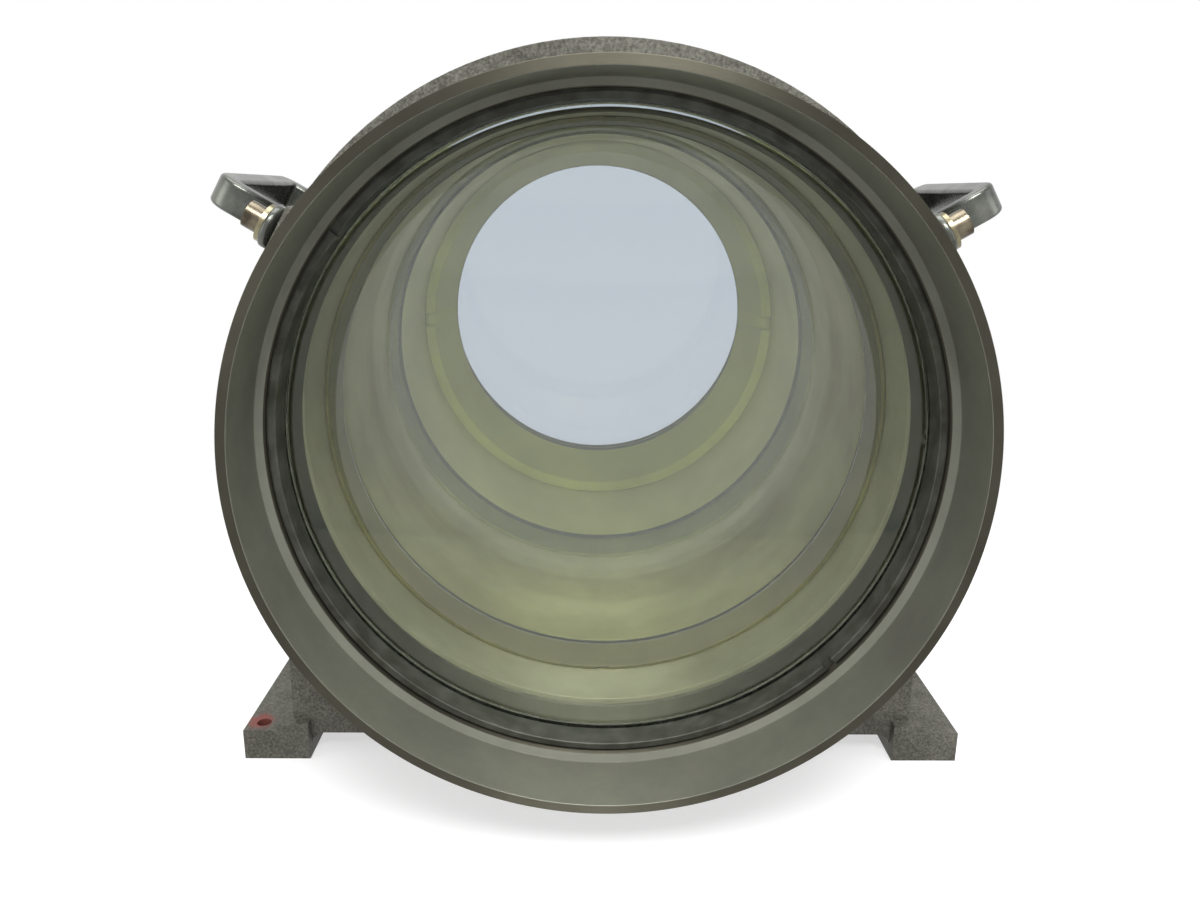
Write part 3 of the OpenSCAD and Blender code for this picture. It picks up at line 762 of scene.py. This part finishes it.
@dataclass(frozen=True)
class StudioFloor(Recipe):
    """Matt paper under the lens: it keeps the soft shadow and fades to the white backdrop.

    Metal sees it white. Glass sees it white near the lens and cooler far off, as daylight is.
    """

    colour: str = "bcbcbc"
    distant: str = "b4c0d2"
    lit_m: float = 0.28
    white_m: float = 0.75
    cool_from_m: float = 1.5
    cool_to_m: float = 6.0
    glow: float = 0.6

    def shader(self, tree: bpy.types.NodeTree, axis: Axis) -> bpy.types.Node:
        """Adds the floor's shader, which mixes by the kind of ray and the distance.

        Args:
            tree: The material's node tree.
            axis: The optical axis, which the floor doesn't need.

        Returns:
            The shader.
        """
        path = add(tree, "ShaderNodeLightPath").outputs
        place = add(tree, "ShaderNodeTexCoord").outputs["Object"]
        away = add(
            tree, "ShaderNodeVectorMath", {0: place}, operation="LENGTH"
        ).outputs["Value"]
        fade = add(
            tree, "ShaderNodeMapRange",
            {"Value": away, "From Min": self.lit_m, "From Max": self.white_m},
            interpolation_type="SMOOTHSTEP",
        )
        lit = add(tree, "ShaderNodeBsdfDiffuse", {"Color": linear(self.colour)})
        white = add(tree, "ShaderNodeEmission", {"Color": WHITE, "Strength": 1.0})
        glow = add(tree, "ShaderNodeEmission", {"Color": WHITE, "Strength": self.glow})
        near = add(tree, "ShaderNodeAddShader", {0: lit, 1: glow})
        seen = add(tree, "ShaderNodeMixShader", {0: fade, 1: near, 2: white})
        by_camera = add(
            tree, "ShaderNodeMixShader", {0: path["Is Camera Ray"], 1: lit, 2: seen}
        )
        far = add(
            tree, "ShaderNodeMapRange",
            {"Value": away, "From Min": self.cool_from_m, "From Max": self.cool_to_m},
        )
        tint = add(
            tree, "ShaderNodeValToRGB", {"Fac": far}, ((0.0, "ffffff"), (1.0, self.distant))
        )
        cool = add(tree, "ShaderNodeEmission", {"Color": tint})
        by_metal = add(
            tree, "ShaderNodeMixShader", {0: path["Is Glossy Ray"], 1: by_camera, 2: white}
        )
        return add(
            tree, "ShaderNodeMixShader", {0: path["Is Transmission Ray"], 1: by_metal, 2: cool}
        )


class Finish(Enum):
    """Every finish of the lens, with its recipe."""

    # Grey paint over sand-cast aluminium: matt and grainy, paler where rubbed, dark in other
    # random patches
    CAST = CastPaint("sand_cast_grey_paint", "595850", "737268", "3a382f")
    # Turned aluminium left bare: grey-brown, with bright fans of light over and under the bore
    RING = TurnedMetal(
        "turned_aluminium_ring", "5c5a4f", "4e4c42", roughness=0.52, groove=0.3,
        anisotropic=0.95,
    )
    # Satin anodising on a turned bore: an even grey with a soft sheen, painted paler than the
    # ring as painted light against the shade in the recess
    BORE = TurnedMetal(
        "satin_anodised_bore_painted_light", "7d7e71", "6b6b61", roughness=0.42, metallic=0.5,
        anisotropic=0.6,
    )
    # A narrow bevel turned last: a pale line all round whose pale colour is a painted highlight,
    # too rough for a sharp real highlight
    BEVEL = TurnedMetal(
        "bright_turned_bevel_painted_highlight", "797a6f", "6b6c61", roughness=0.7, metallic=0.5,
        anisotropic=0.4,
    )
    # Black anodising: dark, with a faint sheen along edges and notches
    BLACK = PlainSurface("black_anodised_ring", "3a3a33", "54554e", 0.55, 0.6)
    # Dull anodising on a turned cone: straw-coloured, painted paler than the mouth as painted
    # light deep in the barrel, with long streaks of light
    BARREL = TurnedMetal(
        "dull_anodised_barrel_painted_light", "c9bf8e", "aaa074", roughness=0.4, metallic=0.55,
        anisotropic=0.85, groove=0.22,
    )
    # The same at the barrel's mouth, greyer: the deeper barrel is its copy painted paler as
    # painted light
    MOUTH = TurnedMetal(
        "grey_barrel_mouth", "a39f88", "88846d", roughness=0.42, metallic=0.5,
        anisotropic=0.8, groove=0.22,
    )
    # Black dye on turned aluminium, faded to olive: dark, with hardly a shine
    OLIVE = TurnedMetal(
        "olive_black_ring", "6c683c", "55512c", roughness=0.55, metallic=0.3,
        anisotropic=0.3,
    )
    # A matt coat that takes up stray light: a flat olive band, painted paler as painted light
    # for its depth
    BAFFLE = TurnedMetal(
        "olive_baffle_coat_painted_light", "95905a", "78733f", roughness=0.55, metallic=0.3,
        anisotropic=0.3,
    )
    # Anodising like the barrel's: pale straw, painted paler as painted light so that it still
    # shows deep behind two lenses
    REAR = TurnedMetal(
        "anodised_rear_cell_painted_light", "d6ce8c", "bab170", roughness=0.42, metallic=0.4,
        anisotropic=0.8, groove=0.22,
    )
    # A dyed, turned cone: an even yellow-green band round the last lens
    PAIR_RING = TurnedMetal(
        "olive_turned_ring", "c2bd6c", "a8a359", roughness=0.5, metallic=0.2,
        anisotropic=0.3,
    )
    # Coated crown glass: clear, with a trace of green and sharp reflections
    GLASS = PolishedGlass("coated_crown_glass", "eef2ea")
    # Coated flint glass: the pale violet-blue of the bright disc
    PAIR_GLASS = PolishedGlass("coated_flint_glass", "d3d7f6")
    # Glass ground and inked at its edge: matt grey, seen as a thin line round a lens
    GROUND = PlainSurface("inked_ground_glass_edge", "5d5e55", "74756a", 0.7)
    # Moulded nitrile: nearly black and without shine
    RUBBER = PlainSurface("black_nitrile_gasket", "23241f", "30312b", 0.7)
    # Black oxide on steel: dark, with a slight oily shine
    OXIDE = PlainSurface("black_oxide_steel", "2c2c2a", "4a4a46", 0.42, 0.8)
    # Steel rubbed satin: dark, with broad highlights and paler rubs a few millimetres wide
    BOW = PlainSurface("satin_steel_bow", "454743", "74766f", 0.28, 0.8, 3.0)
    # Plain turned steel, yellowed by age: bright little highlights
    WASHER = PlainSurface("plain_steel_washer", "7d7660", "a19a80", 0.3, 1.0)
    # Steel browned by age: dull brown, bright where a key has worn it
    AGED = PlainSurface("aged_steel_screw", "4c453a", "857c6a", 0.28, 0.95)
    # Ground steel pins: pale and bright
    DOWEL = PlainSurface("ground_steel_pin", "b5b5ae", "c9c9c2", 0.25, 1.0)


def dress(piece: bpy.types.Object, materials: list[bpy.types.Material]) -> None:
    """Gives a piece its materials and keeps the slot number of each face.

    Args:
        piece: The piece.
        materials: Its materials, in the order of its faces' slot numbers.
    """
    mesh = piece.data
    numbers = np.zeros(len(mesh.polygons), np.int32)
    mesh.polygons.foreach_get("material_index", numbers)
    mesh.materials.clear()
    for material in materials:
        mesh.materials.append(material)
    mesh.polygons.foreach_set("material_index", numbers)
    mesh.update()


@dataclass
class Group:
    """A sub-assembly on the optical axis, with the finishes that its pieces wear."""

    axis: Axis
    finishes: dict[Finish, bpy.types.Material]

    def build(self) -> None:
        """Builds the group's pieces."""
        raise NotImplementedError

    def seat(
        self, piece: bpy.types.Object, slot: str, nodes: tuple[str, ...],
        finishes: tuple[Finish, ...], tools: list[Cutter] | None = None,
    ) -> None:
        """Dresses a piece, cuts it, and seats it on the body in place of its CAD nodes.

        The finishes come before the cut, which would lose the slot numbers without them.

        Args:
            piece: The new piece.
            slot: The record's material slot; not used.
            nodes: The CAD nodes that it stands for.
            finishes: Its finishes, in the order of its faces' slot numbers.
            tools: Cutters, for a piece with holes or slots.
        """
        dress(piece, [self.finishes[finish] for finish in finishes])
        if tools:
            cut(piece, self.axis, tools)
        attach(piece, BODY)
        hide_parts(*nodes)
        log.info("%s: %d faces", piece.name, len(piece.data.polygons))

    def keep(self, finish: Finish, *nodes: str) -> None:
        """Gives one finish to CAD nodes that stay.

        Args:
            finish: The finish.
            nodes: The nodes' names.
        """
        for node in nodes:
            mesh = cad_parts[node].data
            mesh.materials.clear()
            mesh.materials.append(self.finishes[finish])
            log.info("%s: CAD node dressed", node)


@dataclass
class FrontGroup(Group):
    """The front ring, its lens and the ring that holds it."""

    register_r: float = 184.7
    ring_r: float = 190.0
    thread_r: float = 180.6
    cell_r: float = 180.0
    body_r: float = 186.0
    foot_r: float = 200.0
    glass_r: float = 175.0
    lens_r: float = 179.8
    front_curve: float = 780.0
    back_curve: float = 800.0
    lip_r: float = 166.0
    relief_r: float = 168.0
    spigot_r: float = 184.0
    register_len: float = 39.7
    bore_slack: float = 0.1
    bevel_end: float = 42.3
    retainer_y: float = 44.0
    rim_taper: float = 6.0
    lens_y: float = 60.0
    lens_back: float = 72.0
    seat_y: float = 73.0
    seat_gap: float = 0.5
    lip_y: float = 91.0
    ring_len: float = 99.5
    foot_t: float = 16.0
    spigot_end: float = 106.0
    set_hole_r: float = 2.6
    set_angles: tuple[float, ...] = (90, 210, 330)

    def build(self) -> None:
        """Builds the group's pieces."""
        self.ring()
        self.lens()
        self.keep(Finish.BLACK, "front_retaining_ring")
        self.keep(Finish.RUBBER, "front_lens_gasket", "front_ring_gasket")
        self.keep(Finish.OXIDE, "front_ring_screws", "retainer_set_screws")
        self.keep(Finish.DOWEL, "front_ring_dowels")

    def ring(self) -> None:
        """Turns the front ring with its register bore, bevel, cell, throat and flange."""
        outline = [
            (self.register_r, 0), (self.ring_r, 0), (self.ring_r, self.retainer_y),
            (self.body_r, self.retainer_y + self.rim_taper),
            (self.body_r, self.ring_len - self.foot_t),
            (self.foot_r, self.ring_len - self.foot_t), (self.foot_r, self.ring_len),
            (self.spigot_r, self.ring_len), (self.spigot_r, self.spigot_end),
            (self.relief_r, self.spigot_end), (self.relief_r, self.lip_y),
            (self.lip_r, self.lip_y), (self.glass_r - self.seat_gap, self.seat_y),
            (self.cell_r, self.seat_y), (self.cell_r, self.lens_y),
            (self.thread_r, self.lens_y), (self.thread_r, self.bevel_end),
            (self.register_r, self.register_len),
        ]
        profile = softened(outline, 0.6)
        radius, depth = profile.points.T
        # The register bore's faces take the finish painted paler, as painted light against the
        # shade in the recess
        bore = (radius < self.register_r + self.bore_slack) & (depth < self.register_len)
        # The bevel's faces take a pale colour that is a painted highlight all round
        bevel = (depth >= self.register_len) & (depth < self.bevel_end) & (radius < self.body_r)
        finish = np.where(bevel, 2, np.where(bore, 1, 0))
        profile = Profile(profile.points, profile.normals, finish)
        piece = revolve("turned_front_ring", profile, self.axis, 360, exact_normals=False)
        middle = self.retainer_y + (self.lens_y - self.retainer_y) / 2
        holes = [
            Cutter(
                circle(self.set_hole_r), around(angle, self.thread_r - CLEAR, middle),
                (0, 1, 0), around(angle, 4 * (self.body_r - self.cell_r), 0),
            )
            for angle in self.set_angles
        ]
        self.seat(
            piece, "turned_ring", ("front_ring",), (Finish.RING, Finish.BORE, Finish.BEVEL),
            holes,
        )

    def lens(self) -> None:
        """Grinds the double convex front lens."""
        profile = lens_profile(
            self.glass_r, self.lens_r, self.lens_y, self.lens_back, self.front_curve,
            self.back_curve, 1,
        )
        piece = revolve("polished_front_lens", profile, self.axis, 256, closed=False)
        self.seat(piece, "coated_glass", ("front_lens",), (Finish.GLASS, Finish.GROUND))


@dataclass
class InnerGroup(Group):
    """The main barrel with its second lens, retaining ring and baffle ring."""

    mouth_r: float = 165.0
    flange_r: float = 182.0
    spigot_r: float = 170.0
    barrel_r: float = 164.0
    end_r: float = 131.6
    bore_r: float = 120.6
    cone_end_r: float = 118.0
    lens_cell_r: float = 154.0
    thread_r: float = 154.5
    thread_gap: float = 0.2
    ring_face: float = 2.3
    glass_r: float = 144.5
    glass_gap: float = 0.5
    lens_r: float = 153.8
    front_curve: float = 480.0
    back_curve: float = 560.0
    barrel_y: float = 107.0
    shoulder_y: float = 119.0
    shoulder_end: float = 131.0
    retainer_y: float = 142.0
    lens_y: float = 168.0
    lens_back: float = 182.0
    seat_y: float = 183.0
    seat_gap: float = 1.0
    taper_y: float = 259.5
    baffle_y: float = 285.0
    baffle_end: float = 301.0
    baffle_r: float = 116.5
    baffle_end_r: float = 111.5
    baffle_gap: float = 0.1
    barrel_end: float = 304.5

    def build(self) -> None:
        """Builds the group's pieces."""
        self.barrel()
        self.retaining_ring()
        self.lens()
        self.baffle()
        self.keep(Finish.OXIDE, "main_barrel_screws")
        self.keep(Finish.RUBBER, "second_lens_gasket")

    def barrel(self) -> None:
        """Turns the stepped barrel and its long cone."""
        outline = [
            (self.mouth_r, self.barrel_y), (self.flange_r, self.barrel_y),
            (self.flange_r, self.shoulder_y), (self.spigot_r, self.shoulder_y),
            (self.spigot_r, self.shoulder_end), (self.barrel_r, self.shoulder_end),
            (self.barrel_r, self.seat_y), (self.end_r, self.taper_y),
            (self.end_r, self.barrel_end), (self.bore_r, self.barrel_end),
            (self.bore_r, self.baffle_y), (self.cone_end_r, self.baffle_y),
            (self.glass_r - self.seat_gap, self.seat_y), (self.lens_cell_r, self.seat_y),
            (self.lens_cell_r, self.lens_y), (self.thread_r, self.lens_y),
            (self.thread_r, self.retainer_y),
        ]
        profile = softened(outline, 0.5)
        # The mouth keeps the darker colour, and the deeper faces take the copy painted paler as
        # painted light
        mouth = profile.points[:, 1] < self.retainer_y
        profile = Profile(profile.points, profile.normals, mouth.astype(int))
        piece = revolve("turned_main_barrel", profile, self.axis)
        self.seat(piece, "olive_barrel", ("main_barrel",), (Finish.BARREL, Finish.MOUTH))

    def retaining_ring(self) -> None:
        """Turns the cone-bored ring that holds the second lens."""
        outer = self.thread_r - self.thread_gap
        outline = [
            (outer - self.ring_face, self.retainer_y), (outer, self.retainer_y),
            (outer, self.lens_y), (self.glass_r + self.glass_gap, self.lens_y),
        ]
        piece = revolve(
            "olive_second_retaining_ring", softened(outline), self.axis, exact_normals=False
        )
        slots = spanner_slots((90, 270), outer, self.retainer_y)
        self.seat(piece, "olive_ring", ("second_retaining_ring",), (Finish.OLIVE,), slots)

    def lens(self) -> None:
        """Grinds the meniscus, convex to the front."""
        profile = lens_profile(
            self.glass_r, self.lens_r, self.lens_y, self.lens_back, self.front_curve,
            self.back_curve, -1,
        )
        piece = revolve("polished_second_lens", profile, self.axis, 192, closed=False)
        self.seat(piece, "coated_glass", ("second_lens",), (Finish.GLASS, Finish.GROUND))

    def baffle(self) -> None:
        """Turns the baffle ring in the barrel's rear bore."""
        outer = self.bore_r - self.baffle_gap
        outline = [
            (self.baffle_r, self.baffle_y), (outer, self.baffle_y),
            (outer, self.baffle_end), (self.baffle_end_r, self.baffle_end),
        ]
        piece = revolve("olive_baffle_ring", softened(outline), self.axis)
        # The baffle's olive is painted paler, as painted light deep in the barrel
        self.seat(piece, "olive_ring", ("baffle_ring",), (Finish.BAFFLE,))


@dataclass
class RearGroup(Group):
    """The rear cell with the cemented pair and its retaining ring."""

    mouth_r: float = 110.0
    spigot_r: float = 120.5
    flange_r: float = 151.6
    neck_r: float = 116.5
    body_r: float = 106.5
    rim_r: float = 112.5
    exit_r: float = 85.9
    cell_r: float = 95.9
    thread_r: float = 96.5
    bore_slack: float = 1.0
    thread_gap: float = 0.2
    ring_face: float = 5.3
    glass_r: float = 78.5
    glass_gap: float = 0.2
    pair_r: float = 95.7
    front_curve: float = 420.0
    back_curve: float = 1500.0
    mouth_y: float = 301.5
    cell_y: float = 305.5
    flange_end: float = 319.5
    ring_y: float = 346.0
    neck_taper: float = 10.0
    pair_y: float = 369.5
    pair_back: float = 391.5
    seat_y: float = 392.5
    seat_gap: float = 1.0
    exit_taper: float = 3.0
    rim_t: float = 14.0
    end_y: float = 410.0
    tap_r: float = 1.65
    tap_in: float = 13.5
    tap_len: float = 10.0
    taps: int = 6

    def build(self) -> None:
        """Builds the group's pieces."""
        self.cell()
        self.retaining_ring()
        self.pair()
        self.keep(Finish.RUBBER, "rear_cell_gasket", "rear_lens_gasket")
        self.keep(Finish.OXIDE, "rear_cell_screws")

    def cell(self) -> None:
        """Turns the rear cell with its cone, flange and end rim."""
        outline = [
            (self.mouth_r, self.mouth_y), (self.spigot_r, self.mouth_y),
            (self.spigot_r, self.cell_y), (self.flange_r, self.cell_y),
            (self.flange_r, self.flange_end), (self.neck_r, self.flange_end),
            (self.neck_r, self.ring_y), (self.body_r, self.ring_y + self.neck_taper),
            (self.body_r, self.end_y - self.rim_t), (self.rim_r, self.end_y - self.rim_t),
            (self.rim_r, self.end_y), (self.exit_r, self.end_y),
            (self.exit_r, self.seat_y + self.exit_taper),
            (self.glass_r + self.seat_gap, self.seat_y),
            (self.cell_r, self.seat_y), (self.cell_r, self.pair_y),
            (self.thread_r, self.pair_y), (self.thread_r, self.ring_y),
        ]
        profile = softened(outline, 0.7)
        radius, depth = profile.points.T
        # Faces inside the cell take the straw finish painted paler as painted light
        inside_painted_light = (radius < self.thread_r + self.bore_slack) & (depth < self.seat_y)
        profile = Profile(profile.points, profile.normals, inside_painted_light.astype(int))
        piece = revolve("turned_rear_cell", profile, self.axis, exact_normals=False)
        holes = [
            Cutter(
                circle(self.tap_r, 24),
                around(turn * 360 / self.taps, self.rim_r - self.tap_in, self.end_y + CLEAR),
                (1, 0, 0), (0, -self.tap_len - CLEAR, 0),
            )
            for turn in range(self.taps)
        ]
        self.seat(
            piece, "rear_cell_metal", ("rear_cell",), (Finish.RING, Finish.REAR), holes
        )

    def retaining_ring(self) -> None:
        """Turns the cone-bored ring in front of the rear pair."""
        outer = self.thread_r - self.thread_gap
        outline = [
            (outer - self.ring_face, self.ring_y), (outer, self.ring_y),
            (outer, self.pair_y), (self.glass_r + self.glass_gap, self.pair_y),
        ]
        piece = revolve(
            "olive_rear_retaining_ring", softened(outline), self.axis, exact_normals=False
        )
        slots = spanner_slots((0, 180), outer, self.ring_y)
        self.seat(piece, "pair_ring", ("rear_retaining_ring",), (Finish.PAIR_RING,), slots)

    def pair(self) -> None:
        """Grinds the rear pair, cemented into one block of glass."""
        profile = lens_profile(
            self.glass_r, self.pair_r, self.pair_y, self.pair_back, self.front_curve,
            self.back_curve, -1,
        )
        piece = revolve("cemented_rear_pair", profile, self.axis, 192, closed=False)
        self.seat(
            piece, "coated_glass", ("rear_crown_lens", "rear_flint_lens"),
            (Finish.PAIR_GLASS, Finish.GROUND),
        )


@dataclass
class Housing(Group):
    """The cast housing with its webs and feet."""

    def build(self) -> None:
        """Paints the casting. Its paint's own shading softens the edges as a foundry would."""
        self.keep(Finish.CAST, "housing")


@dataclass
class Handles(Group):
    """The two lifting handles with their washers and screws.

    A handle is drawn with its reach from the axis as X, its depth as Y and its width as Z, and
    then turned up to its angle. sunk is how far its parts run into each other or the seat.
    """

    angle: float = 30.0
    seat_r: float = 215.0
    grip_up: float = 51.0
    width: float = 18.5
    thick: float = 12.0
    bend: float = 8.0
    edge_r: float = 2.6
    lug_r: float = 13.0
    lug_t: float = 8.5
    lug_edge: float = 2.0
    lugs: tuple[float, float] = (116.0, 272.0)
    sunk: float = 1.0

    def build(self) -> None:
        """Builds both handles."""
        for side in Side:
            self.handle(side)
        self.keep(Finish.WASHER, "handle_washers")
        self.keep(Finish.AGED, "handle_screws")

    def section(self) -> np.ndarray:
        """The bar's section: an oblong whose corners are quarter circles, anticlockwise.

        Returns:
            Points as thickness and width in millimetres.
        """
        a = np.linspace(0, math.pi / 2, 7)
        arc = np.stack([np.cos(a), np.sin(a)], axis=1) * self.edge_r
        half = np.array([self.thick, self.width]) / 2 - self.edge_r
        turns = [(1, 1), (-1, 1), (-1, -1), (1, -1)]
        parts = []
        for k, signs in enumerate(turns):
            c, w = math.cos(k * math.pi / 2), math.sin(k * math.pi / 2)
            parts.append(arc @ np.array([[c, w], [-w, c]]) + half * np.array(signs))
        return np.concatenate(parts)

    def bow(self) -> tuple[np.ndarray, list]:
        """Carries the section along the bow: up a leg, along the grip and down the other leg.

        The middle line is straight with two quarter circles of the bend's radius. At each row
        the section lies across the line: its first direction is the line's tangent turned a
        quarter towards the outside.

        Returns:
            Points as reach, depth and width in millimetres, and faces.
        """
        half = self.thick / 2
        first, last = self.lugs[0] + self.lug_r + half, self.lugs[1] - self.lug_r - half
        out = self.seat_r + self.grip_up - half
        foot = self.seat_r + self.sunk
        t = np.linspace(0, math.pi / 2, 13)
        near = np.stack([out - self.bend + self.bend * np.sin(t),
                         first + self.bend - self.bend * np.cos(t), t], axis=1)
        far = np.stack([out - self.bend + self.bend * np.cos(t),
                        last - self.bend + self.bend * np.sin(t), t + math.pi / 2], axis=1)
        path = np.concatenate([[[foot, first, 0]], near, far, [[foot, last, math.pi]]])
        section = self.section()
        reach = path[:, :1] + section[:, 0] * np.sin(path[:, 2:])
        depth = path[:, 1:2] - section[:, 0] * np.cos(path[:, 2:])
        wide = np.broadcast_to(section[:, 1], reach.shape)
        points = np.stack([reach, depth, wide], axis=-1).reshape(-1, 3)
        return points, tube_faces(len(path), len(section))

    def lug(self, depth: float, leg: float, side: int) -> tuple[np.ndarray, list]:
        """A lug: a plate with a half-round end, its upper edge a quarter circle all round.

        Rows of the outline rise from the seat, and over the last lug_edge they move in by
        lug_edge (1 - cos t) while they rise by lug_edge sin t.

        Args:
            depth: The lug's middle.
            leg: The far side of the leg that it carries.
            side: 1 where the leg lies behind the lug, -1 where in front.

        Returns:
            Points as reach, depth and width in millimetres, and faces.
        """
        t = np.linspace(0, math.pi / 2, 6)
        lift = np.concatenate([[0], self.lug_t - self.lug_edge + self.lug_edge * np.sin(t)])
        inset = np.concatenate([[0], self.lug_edge * (1 - np.cos(t))])
        a = np.linspace(math.pi / 2, 3 * math.pi / 2, 33)
        run = abs(leg - depth) - self.sunk
        rows = []
        for up, shrink in zip(lift, inset, strict=True):
            r = self.lug_r - shrink
            wide = min(self.width / 2, self.lug_r) - shrink
            arc = np.stack([np.cos(a) * r, np.sin(a) * r], axis=1)
            flat = np.concatenate([arc, np.array([[run, -wide], [run, wide]])])
            reach = np.full(len(flat), self.seat_r + up)
            rows.append(np.stack([reach, depth + side * flat[:, 0], flat[:, 1]], axis=1))
        return np.concatenate(rows), tube_faces(len(rows), len(rows[0]))

    def handle(self, side: Side) -> None:
        """Builds one handle from its bow and two lugs.

        Args:
            side: The side that it's on.
        """
        first, last = self.lugs
        near, far = first + self.lug_r + self.thick, last - self.lug_r - self.thick
        points, faces = merged([self.bow(), self.lug(first, near, 1), self.lug(last, far, -1)])
        reach, depth, wide = points.T
        a = math.radians(self.angle)
        x = reach * math.cos(a) - wide * math.sin(a)
        z = reach * math.sin(a) + wide * math.cos(a)
        node = f"{side.name.lower()}_handle"
        piece = make_object(
            f"steel_{node}", self.axis.place(side.value * x, depth, z), faces
        )
        work = bmesh.new()
        work.from_mesh(piece.data)
        bmesh.ops.recalc_face_normals(work, faces=work.faces)
        work.to_mesh(piece.data)
        work.free()
        flats = piece.modifiers.new("flat_faces", "WEIGHTED_NORMAL")
        flats.mode = "FACE_AREA"
        self.seat(piece, "handle_steel", (node,), (Finish.BOW,))


@dataclass
class Studio:
    """Camera, floor, world and lamps. Lamps stand at places in metres."""

    axis: Axis
    focal_px: float = 950.0
    image_px: float = 1200.0
    sensor_mm: float = 36.0
    camera_x: float = -12.1
    camera_depth: float = -440.2
    camera_up: float = 131.0
    nearest_m: float = 0.02
    pitch: float = 15.12
    yaw: float = 0.87
    roll: float = 0.7
    floor_half: float = 6000.0
    world_light: float = 0.5
    world_white: float = 1.0
    aim_depth: float = 100.0
    spot_at: tuple[float, float, float] = (0.0, -2.0, 0.95)
    spot_deg: float = 9.5
    spot_watts: float = 115.0
    spot_soft_m: float = 0.12
    spot_blend: float = 0.4

    def build(self) -> None:
        """Builds the studio."""
        self.camera()
        self.floor()
        self.world()
        self.lamps()

    def camera(self) -> None:
        """Sets the camera at the photograph's viewpoint."""
        data = bpy.data.cameras.new("camera")
        data.sensor_width = self.sensor_mm
        data.lens = self.focal_px / self.image_px * self.sensor_mm
        data.clip_start = self.nearest_m
        camera = bpy.data.objects.new("camera", data)
        bpy.context.scene.collection.objects.link(camera)
        at = self.axis.place(
            np.array(self.camera_x), np.array(self.camera_depth), np.array(self.camera_up)
        )
        camera.location = Vector(at.tolist())
        tilt = Euler((math.radians(90 - self.pitch), 0, math.radians(-self.yaw)))
        level = tilt.to_matrix() @ Euler((0, 0, math.radians(self.roll))).to_matrix()
        camera.rotation_euler = level.to_euler()
        bpy.context.scene.camera = camera

    def floor(self) -> None:
        """Lays a pale floor that shows white and keeps the shadow."""
        points = np.append(oblong(2, 2) * self.floor_half * MM, np.zeros((4, 1)), axis=1)
        piece = make_object("floor", points, [[0, 1, 2, 3]])
        dress(piece, [StudioFloor("pale_studio_floor").build(self.axis)])

    def world(self) -> None:
        """Makes the world white to the eye, glass and metal, and a soft grey light elsewhere."""
        world = bpy.data.worlds.new("studio")
        bpy.context.scene.world = world
        world.use_nodes = True
        tree = world.node_tree
        tree.nodes.clear()
        path = add(tree, "ShaderNodeLightPath").outputs
        first = add(
            tree, "ShaderNodeMath", {0: path["Is Camera Ray"], 1: path["Is Glossy Ray"]},
            operation="MAXIMUM",
        )
        shown = add(
            tree, "ShaderNodeMath", {0: first, 1: path["Is Transmission Ray"]},
            operation="MAXIMUM",
        )
        strength = add(
            tree, "ShaderNodeMapRange",
            {"Value": shown, "To Min": self.world_light, "To Max": self.world_white},
        )
        back = add(tree, "ShaderNodeBackground", {"Color": WHITE, "Strength": strength})
        add(tree, "ShaderNodeOutputWorld", {"Surface": back})

    def hang(
        self, data: bpy.types.Light, place: tuple[float, float, float]
    ) -> bpy.types.Object:
        """Hangs a lamp and aims it at the lens.

        Args:
            data: The lamp.
            place: Where it hangs, in metres.

        Returns:
            The lamp's object.
        """
        lamp = bpy.data.objects.new(data.name, data)
        bpy.context.scene.collection.objects.link(lamp)
        lamp.location = place
        aim = self.axis.place(np.array(0.0), np.array(self.aim_depth), np.array(0.0))
        toward = Vector(aim.tolist()) - lamp.location
        lamp.rotation_euler = toward.to_track_quat("-Z", "Y").to_euler()
        return lamp

    def lamps(self) -> None:
        """Hangs soft lamps above and beside the lens, and a narrow one for its barrel."""
        plan = {
            "key": ((0.1, -1.25, 1.5), (0.9, 0.5), 31.0),
            "top": ((0.0, 0.1, 1.6), (1.2, 0.9), 14.0),
            "left_fill": ((-1.5, -0.7, 0.6), (0.7, 0.9), 4.0),
            "right_fill": ((1.5, -0.5, 0.6), (0.7, 0.9), 3.0),
        }
        for name, (place, size, watts) in plan.items():
            data = bpy.data.lights.new(name, "AREA")
            data.shape = "RECTANGLE"
            data.size, data.size_y = size
            data.energy = watts
            self.hang(data, place)
        data = bpy.data.lights.new("barrel_fill", "SPOT")
        data.energy, data.shadow_soft_size = self.spot_watts, self.spot_soft_m
        data.spot_size, data.spot_blend = math.radians(self.spot_deg), self.spot_blend
        lamp = self.hang(data, self.spot_at)
        # It lights the deep walls, and its own image stays out of the glass
        lamp.visible_glossy = lamp.visible_transmission = False


def find_axis() -> Axis:
    """Reads the optical axis from the frame: the barrel's middle height, the ring's front.

    Returns:
        The axis.
    """
    low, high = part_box("main_barrel")
    return Axis(height=(low.z + high.z) / 2 / MM, front_y=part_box("front_ring")[0].y / MM)


def main() -> None:
    """Builds the scene, sub-assembly by sub-assembly."""
    logging.basicConfig(level=logging.INFO, format="%(name)s: %(message)s")
    bpy.context.scene.view_settings.view_transform = "Standard"
    axis = find_axis()
    Studio(axis).build()
    finishes = {finish: finish.value.build(axis) for finish in Finish}
    for group in (FrontGroup, InnerGroup, RearGroup, Housing, Handles):
        group(axis, finishes).build()


if __name__ == "__main__":
    main()
